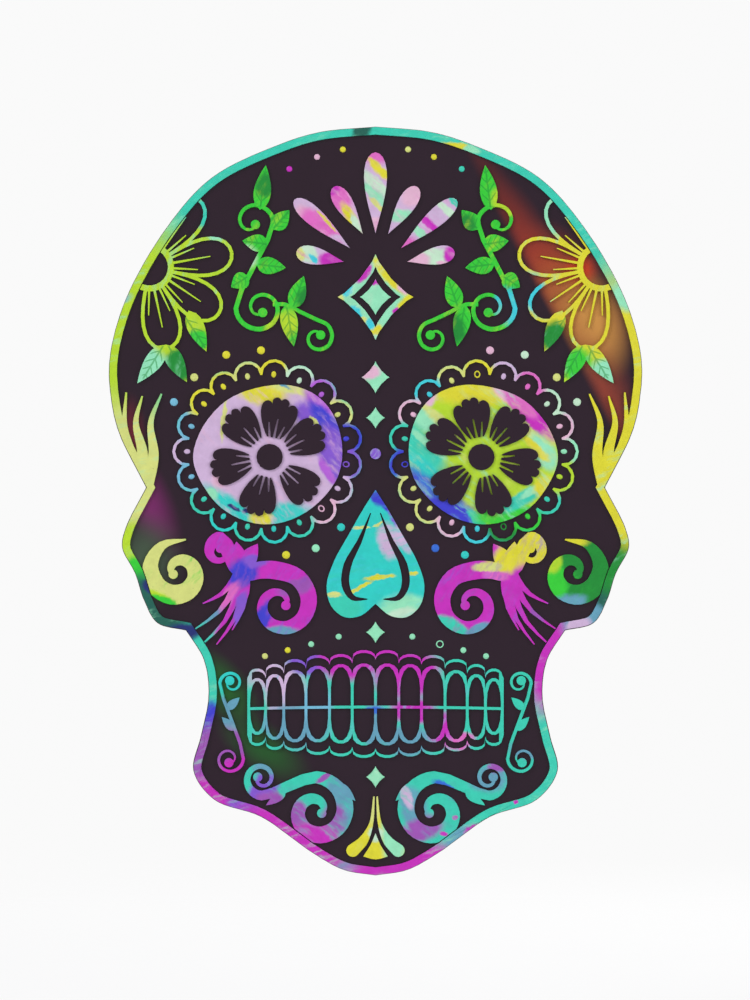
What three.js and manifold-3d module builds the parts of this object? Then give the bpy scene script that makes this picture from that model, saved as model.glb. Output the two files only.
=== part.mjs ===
// A sugar skull wall plaque: a flat board cut to the outline of a skull, a gloss black face panel on it,
// and on the panel the coloured cut pieces of a sugar skull: eyes, nose, teeth, flowers and scrolls.
// It hangs on a nail by a ring at its back and leans on four pads.
// Millimetres. +X to the viewer's right, +Z up, the face looks along -Y and the wall is the plane y = 0.
// The origin is the nail: the point of the wall that the turned-up ring hangs from.

import * as THREE from 'three';
import { mergeVertices } from 'three/addons/utils/BufferGeometryUtils.js';
import Module from 'manifold-3d';

const wasm = await Module();
wasm.setup();

// The whole plaque.
const skullHeight = 300;
const skullHalfWidth = 107;
const nailHeight = 236;
const boardThickness = 4;
const panelThickness = 2;
const panelInset = 0.4;
const reliefThickness = 1.2;
const overlayThickness = 0.8;
const pieceGap = 0.35;
const cutOverrun = 2;

// The wall pads.
const padThickness = 4.2;
const padRadius = 5;
const padFaceRadius = 4.2;
const padPlaceShares = [[-0.55, 0.8], [0.55, 0.8], [-0.4, 0.13], [0.4, 0.13]];
const padNames = ['upper_left', 'upper_right', 'lower_left', 'lower_right'];

// The hanger: a folded strap held by one screw, and the ring that swings in its loop.
const wireRadius = 0.9;
const ringDepth = 24;
const ringHalfWidth = 8.4;
const ringCornerRadius = 2.5;
const ringArcHeight = 9;
const strapWidth = 10;
const strapLength = 14;
const strapLeaf = 0.7;
const loopClearance = 0.3;
const screwRadius = 1.2;
const screwHeadRadius = 2.9;
const screwTopRadius = 2;
const screwHeadHeight = 1.5;
const screwLength = 4.2;
const screwClearance = 0.3;
const screwPlace = 8.6;

// Line and scroll widths on the face.
const rimWidth = 3;
const lineWidth = 1.1;
const vineWidth = 1.6;
const tipWidth = 0.4;
const scrollWidth = 5.4;
const moonWidth = 6.2;
const strokeWidth = 4;
const fanLength = 44;

// The eyes, sized by the skull. Their rings stand on both sides of the bridge, and the scallops share out
// the ring between them.
const eyeWidthShare = 0.357;
const eyeTallShare = 0.1234;
const eyeHalfWidth = eyeWidthShare * skullHalfWidth;
const eyeHalfHeight = eyeTallShare * skullHeight;
const bridgeHalfGap = 4.9;
const scallopCount = 19;
const scallopFullnessShare = 1.13;
const scallopPitchShare = scallopFullnessShare * Math.sin(Math.PI / scallopCount);
const scallopRadius = ((eyeHalfWidth + eyeHalfHeight) / 2) * (scallopPitchShare / (1 + scallopPitchShare));
const flowerHubRadius = 5.3;
const petalStart = 7.9;
const petalEnd = 24;
const petalHalfWidth = 7.4;
const filamentWidth = 0.95;
const filamentTipWidth = 0.55;

// The brow.
const dropWidth = 7.8;
const middleDropWidth = 9.8;
const lozengeHalfWidth = 15.2;
const lozengeHalfHeight = 17.2;
const lozengeBand = 2.5;
const coreHalfWidth = 6.3;
const coreHalfHeight = 7.2;
const bridgeHalfWidth = 5.6;
const bridgeHalfHeight = 6.4;
const smallHalfWidth = 3.8;
const smallHalfHeight = 4.3;
const bridgeBeadRadius = 2.2;

// The temple flowers and the leaves.
const templeHubRadius = 7.4;
const templeHubBand = 2.4;
const templePetalLength = 33.4;
const rayWidth = 1.4;
const leafWidth = 7;
const petalWidth = 15.5;
const petalLineWidth = 1.4;
const flameWidth = 5.6;
const ballRadius = 1.9;

// The nose and the chin.
const nostrilWidth = 3.2;
const chinDropWidth = 5.2;
const fanHalfWidth = 4.9;
const biteSag = 3;

// How finely curves are cut.
const curveSteps = 8;
const roundSides = 16;
const dropSides = 26;
const ballSides = 14;
const lobeSteps = 4;
const wireSides = 8;
const cornerSteps = 4;
const footSteps = 12;
const archSteps = 7;
const curlSteps = 2;
const ribbonSteps = 4;
const curveTolerance = 0.06;
const joinTolerance = 0.03;
const leastArea = 0.3;

// The skull's outline, right half, from the crown to the chin, in three smooth stretches between sharp
// notches. Each pair is a share of the half width and a share of the height.
const craniumShares = [
  [0, 1], [0.207, 0.993], [0.37, 0.975], [0.613, 0.932], [0.783, 0.865],
  [0.936, 0.769], [0.996, 0.69], [0.99, 0.635], [0.961, 0.591], [0.859, 0.518],
];
const cheekShares = [
  [0.859, 0.518], [0.936, 0.464], [0.949, 0.438], [0.9, 0.403], [0.868, 0.368], [0.817, 0.337],
  [0.71, 0.327],
];
const jawShares = [
  [0.71, 0.327], [0.643, 0.288], [0.625, 0.24], [0.655, 0.185], [0.682, 0.14],
  [0.604, 0.101], [0.428, 0.078], [0.232, 0.029], [0.118, 0.007], [0, 0],
];

// The height of the eyes' middle.
const eyeHeightShare = 0.566;

// The coloured disc in the eye, as shares of the scalloped ring's half width and half height.
const eyeDiscShares = [
  [0.78, -0.1], [0.7, 0.23], [0.46, 0.53], [0.18, 0.67], [-0.2, 0.72], [-0.49, 0.62], [-0.68, 0.41],
  [-0.78, 0.05], [-0.73, -0.28], [-0.5, -0.58], [-0.21, -0.75], [0.08, -0.785], [0.37, -0.69], [0.59, -0.5],
];
const eyeFlowerShares = [-0.02, -0.06];
const petalTurns = [102, 153, 222, 285, -12, 48];

// One petal, half of it, as shares of its length and half width: side, side lobe, middle lobe.
const petalSideShares = [
  [0, 0.38], [0.1, 0.54], [0.25, 0.73], [0.45, 0.91], [0.64, 1], [0.8, 0.95], [0.88, 0.76], [0.87, 0.56],
  [0.8, 0.44],
];
const petalTipShares = [[0.8, 0.44], [0.93, 0.45], [1, 0.26], [0.985, 0.1], [0.93, 0]];
const filamentShares = [[-0.24, 0.36], [0.01, 0.48], [0.25, 0.32]];
const filamentLeanShare = 1.8;

// The brow's fan of drops: round end, then tip. The first stands on the middle line.
const dropShares = [
  [[0, 0.965], [0, 0.857]],
  [[0.156, 0.919], [0.047, 0.856]],
  [[0.303, 0.902], [0.095, 0.837]],
  [[0.296, 0.832], [0.118, 0.819]],
];
const dropRanks = ['middle', 'inner', 'outer', 'lower'];
const lozengeHeightShare = 0.772;
const bridgeUpperHeightShare = 0.665;
const bridgeLowerHeightShare = 0.611;
const bridgeBeadHeightShare = 0.563;
const philtrumHeightShare = 0.325;
const chinDiamondHeightShare = 0.132;

// Curls are spirals. Each row holds the middle, the first and last radius as shares of the half width,
// and the quarter turns that it starts at and winds through, positive anticlockwise.
const browCurlShares = [
  [0.462, 0.872, 0.016, 0.08, -1.6, 3.6],
  [0.43, 0.757, 0.092, 0.018, 0, -5.3],
  [0.218, 0.718, 0.066, 0.016, 1, 4.6],
];
const browBranchShares = [[0.384, 0.762], [0.338, 0.762], [0.28, 0.752]];
const browLeafShares = [
  [[0.432, 0.888], [0.41, 0.948]],
  [[0.384, 0.862], [0.322, 0.888]],
  [[0.402, 0.842], [0.498, 0.847]],
  [[0.446, 0.816], [0.335, 0.811]],
  [[0.476, 0.8], [0.54, 0.785]],
  [[0.31, 0.757], [0.268, 0.8]],
  [[0.335, 0.762], [0.305, 0.706]],
];

// The temple flower: its hub, its petals as degrees about the hub, and the rays in each petal.
const templePlaceShares = [0.845, 0.812];
const templeTurns = [126, 170, 214, 258];
const templeRayTurns = [-13, 0, 13];
const templeRayShares = [0.58, 0.74, 0.58];

// Three leaves hang from its petals. Base, then tip, each as degrees about the hub and a share of its reach.
const templeLeafTurns = [[228, 236], [258, 252], [258, 276]];
const templeLeafShares = [[0.7, 1.22], [0.95, 1.45], [0.95, 1.4]];

// The flames that grow out of the rim beside the eye.
const flameShares = [
  [[0.862, 0.512], [0.83, 0.56], [0.84, 0.605], [0.8, 0.643]],
  [[0.87, 0.516], [0.872, 0.566], [0.896, 0.605], [0.872, 0.64]],
  [[0.885, 0.522], [0.912, 0.56], [0.938, 0.6], [0.932, 0.645]],
];

// The nose, right half, and the dark nostril slot in it.
const noseShares = [
  [0, 0.515], [0.05, 0.487], [0.099, 0.456], [0.155, 0.42], [0.183, 0.387], [0.166, 0.36], [0.115, 0.345],
  [0.055, 0.347], [0, 0.363],
];
const nostrilShares = [
  [0.018, 0.484], [0.06, 0.446], [0.104, 0.415], [0.112, 0.388], [0.085, 0.371], [0.03, 0.369],
];

// The cheek: a large curl at its side, a scroll that winds from a small curl under the eye to a large one
// beside the nose, with leaves on it, and a fan of strokes that runs down beside the teeth.
const cheekCurlShares = [
  [0.738, 0.405, 0.126, 0.02, 1.15, -5.4],
  [0.58, 0.432, 0.014, 0.05, -3, 4],
  [0.357, 0.362, 0.13, 0.022, 0.9, 5.2],
];
const cheekStemShares = [[0.5, 0.405], [0.43, 0.408]];
const cheekLeafShares = [
  [[0.5, 0.41], [0.44, 0.443]],
  [[0.51, 0.41], [0.52, 0.446]],
];
const fanPlaceShares = [0.5, 0.415];
const fanFirstTurn = 268;
const fanLastTurn = 314;
const fanLengthShares = [0.4, 0.6, 0.76, 0.82, 0.72, 0.5];
const fanBowShares = [[0, 0], [0.3, -0.09], [0.65, -0.1], [1, 0.02]];

// The teeth: column edges from the middle line outwards, then for each column the arch tops and gum scallops.
const toothEdgeShares = [0, 0.087, 0.172, 0.26, 0.343, 0.411, 0.474];
const biteHeightShare = 0.2253;
const upperToothShares = [0.2835, 0.2827, 0.2804, 0.2747, 0.2693, 0.264];
const lowerToothShares = [0.1739, 0.1764, 0.1781, 0.1781, 0.1813, 0.188];
const upperGumShares = [0.3013, 0.296, 0.2947, 0.2893, 0.2827, 0.2767];
const lowerGumShares = [0.1573, 0.1593, 0.1613, 0.1661, 0.168, 0.1733];
const toothArchShare = 0.028;
const gumDipShare = 0.009;

// The jaw and the chin: more curls, with small leaves.
const jawCurlShares = [
  [0.538, 0.257, 0.012, 0.044, 4.6, -4.6],
  [0.548, 0.156, 0.054, 0.014, 2, 5],
];
const jawLeafShares = [
  [[0.556, 0.222], [0.508, 0.238]],
  [[0.526, 0.194], [0.575, 0.212]],
];
const chinCurlShares = [
  [0.425, 0.13, 0.016, 0.064, 4.2, -5.2],
  [0.222, 0.086, 0.128, 0.022, 1, 5.2],
];
const chinLeafShares = [
  [[0.335, 0.112], [0.41, 0.094]],
  [[0.14, 0.124], [0.075, 0.1]],
];
const chinDropShares = [[0.006, 0.106], [0.016, 0.07], [0.046, 0.047], [0.085, 0.034]];
const chinFanTopShare = 0.057;
const chinFanFootShare = 0.026;
const fanWaistShare = 0.4;

// Widths along a ribbon, from its start to its end, as shares of its own full width.
const evenShares = [1, 1];
const taperShares = [1, 1, 1, 0.8, 0.5];
const spikeShares = [1, 0.75, 0.4, 0.12];
const curlWidthShares = [0.6, 0.8, 1, 1.2, 1.2, 1, 0.8, 0.6];
const moonWidthShares = [0.1, 0.75, 1.25, 1.3, 1.15, 0.9, 0.7, 0.5, 0.3];
const cheekWidthShares = [0.35, 0.35, 0.45, 0.8, 1.2, 1.35, 1.2, 0.95, 0.75, 0.5, 0.3];
const chinWidthShares = [0.2, 0.25, 0.3, 0.38, 0.5, 0.8, 1.25, 1.25, 1, 0.7, 0.35];
const nostrilWidthShares = [0.1, 0.6, 1, 1, 0.7, 0.12];
const chinDropWidthShares = [0.12, 0.3, 0.75, 1];

// How a drop, a leaf and a bowed diamond swell.
const dropSwellShare = 0.66;
const dropPowerShare = 1.4;
const leafFullnessShares = [0.72, 0.9];
const diamondPowerShare = 2.5;
const leastBendShare = 0.5;

const metal = new THREE.MeshStandardMaterial({ color: '#c9cbce', roughness: 0.35, metalness: 1 });
const boardFinish = new THREE.MeshStandardMaterial({ color: '#1d1a1b', roughness: 0.8, metalness: 0 });
const panelFinish = new THREE.MeshStandardMaterial({ color: '#30252e', roughness: 0.2, metalness: 0 });
const padFinish = new THREE.MeshStandardMaterial({ color: '#2b2b2b', roughness: 0.9, metalness: 0 });
const tint = (color) => new THREE.MeshStandardMaterial({ color, roughness: 0.4, metalness: 0 });

const plane = (x, z) => new THREE.Vector2(x, z);
const onSkull = ([across, up]) => plane(across * skullHalfWidth, up * skullHeight - nailHeight);
const onSkullAll = (shares) => shares.map(onSkull);
const polar = (centre, radius, turn) => plane(
  centre.x + radius * Math.cos(turn),
  centre.y + radius * Math.sin(turn),
);
const radians = THREE.MathUtils.degToRad;

// Points along a smooth curve through the given ones.
function smooth(points, steps = curveSteps, closed = false) {
  const corners = points.map((point) => new THREE.Vector3(point.x, point.y, 0));
  const curve = new THREE.CatmullRomCurve3(corners, closed, 'centripetal');
  const spans = closed ? points.length : points.length - 1;
  const cuts = curve.getPoints(spans * steps).map((point) => plane(point.x, point.y));
  return closed ? cuts.slice(0, -1) : cuts;
}

// The value at a place from 0 to 1 along a list of evenly spaced values.
function valueAlong(values, place) {
  const spot = place * (values.length - 1);
  const low = Math.min(Math.floor(spot), values.length - 2);
  return THREE.MathUtils.lerp(values[low], values[low + 1], spot - low);
}

// Both edges of a band that follows a smooth curve, its width given along the way.
function bandEdges(points, width, widthShares, steps) {
  const corners = points.map((point) => new THREE.Vector3(point.x, point.y, 0));
  const curve = new THREE.CatmullRomCurve3(corners, false, 'centripetal');
  const count = (points.length - 1) * steps;
  const right = [];
  const left = [];
  for (let step = 0; step <= count; step += 1) {
    const spot = curve.getPoint(step / count);
    const along = curve.getTangent(step / count);
    const half = Math.max(width * valueAlong(widthShares, step / count), tipWidth) / 2;
    right.push(plane(spot.x + along.y * half, spot.y - along.x * half));
    left.push(plane(spot.x - along.y * half, spot.y + along.x * half));
  }
  return [right, left];
}

// The outline of such a band.
function ribbon(points, width, widthShares = evenShares, steps = curveSteps) {
  const [right, left] = bandEdges(points, width, widthShares, steps);
  return [...right, ...left.reverse()];
}

// Such a band as a solid that may wind over itself: short blocks along it, joined.
function windingBand(points, width, widthShares) {
  const [right, left] = bandEdges(points, width, widthShares, ribbonSteps);
  const blocks = right.slice(1).map((_, step) => {
    const corners = [right[step], right[step + 1], left[step], left[step + 1]];
    return wasm.Manifold.hull(corners.flatMap(({ x, y }) => [[x, 0, y], [x, -reliefThickness, y]]));
  });
  return wasm.Manifold.union(blocks);
}

// The points of a curl, a spiral that winds from its first radius to its last.
function curl([across, up, first, last, start, winding]) {
  const centre = onSkull([across, up]);
  const steps = Math.ceil(Math.abs(winding) * curlSteps);
  return Array.from({ length: steps + 1 }, (_, step) => polar(
    centre,
    THREE.MathUtils.lerp(first, last, step / steps) * skullHalfWidth,
    (start + (winding * step) / steps) * (Math.PI / 2),
  ));
}

function disc(centre, radius, sides = roundSides) {
  return Array.from({ length: sides }, (_, side) => polar(centre, radius, (side / sides) * 2 * Math.PI));
}

// A shape drawn along a line from one point to another: each pair is along and across, in real lengths.
function laid(start, end, pairs) {
  const length = start.distanceTo(end);
  const along = end.clone().sub(start).divideScalar(length);
  return pairs.map(([forth, side]) => plane(
    start.x + along.x * forth - along.y * side,
    start.y + along.y * forth + along.x * side,
  ));
}

// A drop, round at its start and pointed at its end.
function drop(round, tip, width) {
  const length = round.distanceTo(tip);
  const pairs = [];
  for (let side = 0; side < dropSides; side += 1) {
    const turn = (side / dropSides) * 2 * Math.PI;
    const swell = Math.sin(turn) * Math.abs(Math.sin(turn / 2)) ** dropPowerShare;
    pairs.push([(length * (1 + Math.cos(turn))) / 2, width * dropSwellShare * swell]);
  }
  return laid(round, tip, pairs);
}

// A leaf, full near its base and drawn out to its tip.
function leaf(base, tip, width) {
  const length = base.distanceTo(tip);
  const half = roundSides / 2;
  const [lean, fullness] = leafFullnessShares;
  const pairs = [];
  for (let side = 0; side < roundSides; side += 1) {
    const place = side <= half ? side / half : (roundSides - side) / half;
    const swell = Math.sin(Math.PI * place ** lean) ** fullness;
    const sign = side <= half ? -1 : 1;
    pairs.push([length * place, (sign * width * swell) / 2]);
  }
  return laid(base, tip, pairs);
}

// A diamond with four sides that bow inwards.
function bowedDiamond(centre, halfWidth, halfHeight) {
  return Array.from({ length: roundSides }, (_, side) => {
    const turn = (side / roundSides) * 2 * Math.PI;
    const across = Math.sign(Math.cos(turn)) * Math.abs(Math.cos(turn)) ** diamondPowerShare;
    const up = Math.sign(Math.sin(turn)) * Math.abs(Math.sin(turn)) ** diamondPowerShare;
    return plane(centre.x + halfWidth * across, centre.y + halfHeight * up);
  });
}

const mirrored = (loop) => loop.map((point) => plane(-point.x, point.y)).reverse();

// Moves every side of a closed outline inwards by the same distance.
function inset(loop, distance) {
  return loop.map((point, index) => {
    const before = loop[(index + loop.length - 1) % loop.length];
    const after = loop[(index + 1) % loop.length];
    const arriving = point.clone().sub(before).normalize();
    const leaving = after.clone().sub(point).normalize();
    const bisector = plane(-arriving.y - leaving.y, arriving.x + leaving.x).normalize();
    const reach = distance / Math.max(bisector.dot(plane(-arriving.y, arriving.x)), leastBendShare);
    return plane(point.x + bisector.x * reach, point.y + bisector.y * reach);
  });
}

// The skull's outline, anticlockwise from the crown down the left side and up the right.
function skullOutline() {
  const right = [
    ...smooth(onSkullAll(craniumShares)),
    ...smooth(onSkullAll(cheekShares)).slice(1),
    ...smooth(onSkullAll(jawShares)).slice(1),
  ];
  const left = right.slice(1, -1).map((point) => plane(-point.x, point.y));
  return [...left, right[right.length - 1], ...right.slice(1, -1).reverse(), right[0]];
}

// The points of an open run of an outline that its shape needs, to within a tolerance.
function thinned(run, tolerance) {
  const first = run[0];
  const last = run[run.length - 1];
  const along = last.clone().sub(first).normalize();
  const offs = run.map((point) => Math.abs(along.cross(point.clone().sub(first))));
  const worst = offs.indexOf(Math.max(...offs));
  if (offs[worst] < tolerance) return [first, last];
  const before = thinned(run.slice(0, worst + 1), tolerance);
  return [...before.slice(0, -1), ...thinned(run.slice(worst), tolerance)];
}

function thinnedLoop(loop, tolerance) {
  const spans = loop.map((point) => point.distanceTo(loop[0]));
  const far = spans.indexOf(Math.max(...spans));
  const there = thinned(loop.slice(0, far + 1), tolerance);
  const back = thinned([...loop.slice(far), loop[0]], tolerance);
  return [...there.slice(0, -1), ...back.slice(0, -1)];
}

// A flat plate of an outline in the plane of the face, from y = 0 forwards, with holes.
function plate(loop, thickness, holes = [], tolerance = curveTolerance) {
  const edge = thinnedLoop(loop, tolerance);
  const shape = new THREE.Shape(THREE.ShapeUtils.isClockWise(edge) ? edge.reverse() : edge);
  holes.forEach((hole) => shape.holes.push(new THREE.Path(thinnedLoop(hole, tolerance))));
  const geometry = new THREE.ExtrudeGeometry(shape, { depth: thickness, bevelEnabled: false });
  return geometry.rotateX(Math.PI / 2);
}

function solidOf(geometry) {
  const bare = geometry.clone();
  bare.deleteAttribute('normal');
  bare.deleteAttribute('uv');
  const merged = mergeVertices(bare, 1e-4);
  return new wasm.Manifold(new wasm.Mesh({
    numProp: 3,
    vertProperties: new Float32Array(merged.attributes.position.array),
    triVerts: new Uint32Array(merged.index.array),
  }));
}

function geometryOf(solid) {
  const mesh = solid.getMesh();
  const geometry = new THREE.BufferGeometry();
  geometry.setAttribute('position', new THREE.BufferAttribute(mesh.vertProperties, 3));
  geometry.setIndex(new THREE.BufferAttribute(mesh.triVerts, 1));
  return geometry;
}

// The outlines of a flat piece, read off its front face.
function outlinesOf(solid) {
  const mesh = solid.getMesh();
  const depth = (corner) => mesh.vertProperties[3 * corner + 1];
  const onFront = (corner) => depth(corner) < -reliefThickness / 2;
  const edges = new Map();
  for (let face = 0; face < mesh.triVerts.length; face += 3) {
    const corners = [...mesh.triVerts.slice(face, face + 3)];
    if (!corners.every(onFront)) continue;
    corners.forEach((corner, index) => {
      const next = corners[(index + 1) % 3];
      if (edges.get(next)?.has(corner)) {
        edges.get(next).delete(corner);
        return;
      }
      if (!edges.has(corner)) edges.set(corner, new Set());
      edges.get(corner).add(next);
    });
  }
  const loops = [];
  for (const start of edges.keys()) {
    const loop = [];
    let corner = start;
    while (edges.get(corner)?.size) {
      const next = [...edges.get(corner)][0];
      edges.get(corner).delete(next);
      loop.push(plane(mesh.vertProperties[3 * corner], mesh.vertProperties[3 * corner + 2]));
      corner = next;
    }
    if (loop.length > 2) loops.push(loop);
  }
  const area = (loop) => Math.abs(THREE.ShapeUtils.area(loop));
  return loops.filter((loop) => area(loop) > leastArea).sort((a, b) => area(b) - area(a));
}

// A flat solid less what lies inside some outlines.
function cutBy(loops, solid) {
  return loops.reduce((rest, loop) => {
    const cutter = plate(loop, reliefThickness + 2 * cutOverrun).translate(0, cutOverrun, 0);
    return rest.subtract(solidOf(cutter));
  }, solid);
}

// Joins several outlines and flat solids into one flat solid, less the outlines that are cut from it.
function joined(shapes, cuts = []) {
  const solids = shapes.map((shape) => (Array.isArray(shape)
    ? solidOf(plate(shape, reliefThickness, [], joinTolerance))
    : shape));
  return cutBy(cuts, solids.reduce((sum, next) => sum.add(next)));
}

// A flat solid made again from its outlines alone, with no more faces than they need. Where a cut has
// parted it, the largest part is kept.
function replated(solid) {
  const [largest] = solid.decompose().sort((a, b) => b.volume() - a.volume());
  const [outer, ...holes] = outlinesOf(largest);
  return plate(outer, reliefThickness, holes, joinTolerance);
}

// The place that an outline takes on the face, with the gap round it.
const placeOf = (loop) => inset(loop, -pieceGap);

const outline = inset(skullOutline(), panelInset);
const rimInner = inset(outline, rimWidth);

const flames = () => flameShares.map((shares) => ribbon(onSkullAll(shares), flameWidth, spikeShares));

// The face inside the rim: pieces that would run into the rim or its flames are cut off where this ends.
function withinRim(solid) {
  const field = plate(inset(rimInner, pieceGap), reliefThickness + 2 * cutOverrun);
  return cutBy(flames().map(placeOf), solid.intersect(solidOf(field.translate(0, cutOverrun, 0))));
}

const plaque = new THREE.Group();
const layer = (rear) => {
  const group = new THREE.Group();
  group.position.y = rear;
  plaque.add(group);
  return group;
};
const boardRear = -padThickness;
const panelRear = boardRear - boardThickness;
const reliefRear = panelRear - panelThickness;
const boardLayer = layer(boardRear);
const panelLayer = layer(panelRear);
const reliefLayer = layer(reliefRear);
const overlayLayer = layer(reliefRear - reliefThickness);
const wallLayer = layer(0);

function add(group, name, geometry, finish) {
  const mesh = new THREE.Mesh(geometry, finish);
  mesh.name = name;
  group.add(mesh);
  return mesh;
}

// A relief piece on one side of the face and its mirror image on the other, cut off where it would run
// into the rim, an eye or the other pieces whose places are given.
function addPair(name, shapes, cuts, finish, places = []) {
  const whole = cutBy([eyePlace(), ...places], withinRim(joined(shapes, cuts)));
  const geometry = replated(whole);
  add(reliefLayer, `${name}_right`, geometry, finish.right);
  add(reliefLayer, `${name}_left`, geometry, finish.left).scale.x = -1;
}

// The hanger's place: the ring's bar turns on this line.
const hingeHeight = wireRadius - ringDepth;
const loopBore = wireRadius + loopClearance;
const loopRadius = loopBore + strapLeaf;
const hingeDepth = boardRear + loopRadius;
const screwHeight = hingeHeight - screwPlace;

function makeBoard() {
  const board = solidOf(plate(skullOutline(), boardThickness));
  const radius = screwRadius + screwClearance;
  const reach = screwLength - 2 * strapLeaf + screwClearance;
  const hole = new THREE.CylinderGeometry(radius, radius, reach + cutOverrun, roundSides);
  hole.translate(0, (cutOverrun - reach) / 2, screwHeight);
  add(boardLayer, 'back_board', geometryOf(board.subtract(solidOf(hole))), boardFinish);
  add(panelLayer, 'face_panel', plate(outline, panelThickness), panelFinish);
}

function makePads() {
  const profile = [
    plane(0, -padThickness),
    plane(padRadius, -padThickness),
    plane(padFaceRadius, 0),
    plane(0, 0),
  ];
  padPlaceShares.forEach((share, index) => {
    const place = onSkull(share);
    const shape = new THREE.LatheGeometry(profile, roundSides);
    const pad = add(wallLayer, `wall_pad_${padNames[index]}`, shape, padFinish);
    pad.position.set(place.x, 0, place.y);
  });
}

// The strap's section, seen along the hinge: two leaves against the board and a loop round the ring's bar.
function makeStrap() {
  const leaves = 2 * strapLeaf;
  const centre = plane(loopRadius, 0);
  const meeting = Math.atan2(-Math.sqrt(loopRadius ** 2 - (leaves - loopRadius) ** 2), leaves - loopRadius);
  const section = [plane(0, -strapLength), plane(leaves, -strapLength)];
  for (let side = 0; side <= roundSides; side += 1) {
    section.push(polar(centre, loopRadius, THREE.MathUtils.lerp(meeting, Math.PI, side / roundSides)));
  }
  const shape = new THREE.Shape(section);
  shape.holes.push(new THREE.Path(disc(centre, loopBore)));
  const folded = new THREE.ExtrudeGeometry(shape, { depth: strapWidth, bevelEnabled: false });
  folded.translate(0, 0, -strapWidth / 2);
  const across = new THREE.Matrix4().makeBasis(
    new THREE.Vector3(0, 1, 0),
    new THREE.Vector3(0, 0, 1),
    new THREE.Vector3(1, 0, 0),
  );
  const radius = screwRadius + screwClearance;
  const hole = new THREE.CylinderGeometry(radius, radius, leaves + 2 * cutOverrun, roundSides);
  hole.translate(0, leaves / 2, -screwPlace);
  const strap = solidOf(folded.applyMatrix4(across)).subtract(solidOf(hole));
  add(boardLayer, 'hanger_strap', geometryOf(strap), metal).position.z = hingeHeight;
}

function makeScrew() {
  const profile = [
    plane(0, -screwLength),
    plane(screwRadius, screwRadius - screwLength),
    plane(screwRadius, 0),
    plane(screwHeadRadius, 0),
    plane(screwHeadRadius, screwHeadHeight / 2),
    plane(screwTopRadius, screwHeadHeight),
    plane(0, screwHeadHeight),
  ];
  const screw = add(boardLayer, 'hanger_screw', new THREE.LatheGeometry(profile, roundSides), metal);
  screw.position.set(0, 2 * strapLeaf, screwHeight);
}

// The ring's centre line, seen from behind: a straight bar, two corners, two sides and a round foot.
function ringPath() {
  const shoulder = ringHalfWidth - ringCornerRadius;
  const side = ringDepth - ringArcHeight;
  const corner = Array.from({ length: cornerSteps + 1 }, (_, step) => polar(
    plane(shoulder, -ringCornerRadius),
    ringCornerRadius,
    (1 - step / cornerSteps) * (Math.PI / 2),
  ));
  const foot = Array.from({ length: footSteps + 1 }, (_, step) => {
    const turn = -(step / footSteps) * Math.PI;
    return plane(ringHalfWidth * Math.cos(turn), ringArcHeight * Math.sin(turn) - side);
  });
  return [...corner, ...foot, ...mirrored(corner)];
}

function makeRing() {
  const path = ringPath();
  const positions = [];
  const faces = [];
  path.forEach((spot, index) => {
    const before = path[(index + path.length - 1) % path.length];
    const after = path[(index + 1) % path.length];
    const along = after.clone().sub(before).normalize();
    for (let side = 0; side < wireSides; side += 1) {
      const turn = (side / wireSides) * 2 * Math.PI;
      const out = wireRadius * Math.cos(turn);
      positions.push(spot.x - along.y * out, wireRadius * Math.sin(turn), spot.y + along.x * out);
      const here = index * wireSides + side;
      const next = index * wireSides + ((side + 1) % wireSides);
      const there = (here + wireSides) % (path.length * wireSides);
      const beyond = (next + wireSides) % (path.length * wireSides);
      faces.push(here, there, next, next, there, beyond);
    }
  });
  const geometry = new THREE.BufferGeometry();
  geometry.setAttribute('position', new THREE.Float32BufferAttribute(positions, 3));
  geometry.setIndex(faces);
  add(wallLayer, 'hanger_ring', geometry, metal).position.set(0, hingeDepth, hingeHeight);
}

function makeRim() {
  const band = solidOf(plate(outline, reliefThickness, [rimInner]));
  const whole = band.add(joined([...flames(), ...flames().map(mirrored)]));
  const trimmed = whole.intersect(solidOf(plate(outline, reliefThickness)));
  const rim = cutBy([eyePlace(), mirrored(eyePlace())], trimmed);
  add(reliefLayer, 'rim_band', replated(rim), tint('#35c4a4'));
}

// The scalloped line round an eye: the outer edge of a ring of circles. Each arc ends where it meets the
// next circle, or, where they don't meet, on the line between their middles.
function scallops(centre, radius) {
  const across = eyeHalfWidth - scallopRadius;
  const up = eyeHalfHeight - scallopRadius;
  const track = new THREE.EllipseCurve(centre.x, centre.y, across, up);
  const middles = track.getSpacedPoints(scallopCount).slice(1);
  return middles.flatMap((middle, bump) => {
    const limit = (neighbour, sign) => {
      const way = neighbour.clone().sub(middle);
      return way.angle() + sign * Math.acos(Math.min(way.length() / 2 / radius, 1));
    };
    const first = limit(middles[(bump + scallopCount - 1) % scallopCount], 1);
    const last = limit(middles[(bump + 1) % scallopCount], -1);
    const sweep = (last - first + 4 * Math.PI) % (2 * Math.PI);
    return Array.from({ length: archSteps }, (_, cut) => polar(
      middle,
      radius,
      first + sweep * (cut / (archSteps - 1)),
    ));
  });
}

const eyeMiddle = plane(eyeHalfWidth + bridgeHalfGap, onSkull([0, eyeHeightShare]).y);

// The place that the right eye's ring takes on the face, with the gap round it.
const eyePlace = () => scallops(eyeMiddle, scallopRadius + pieceGap);

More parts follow.
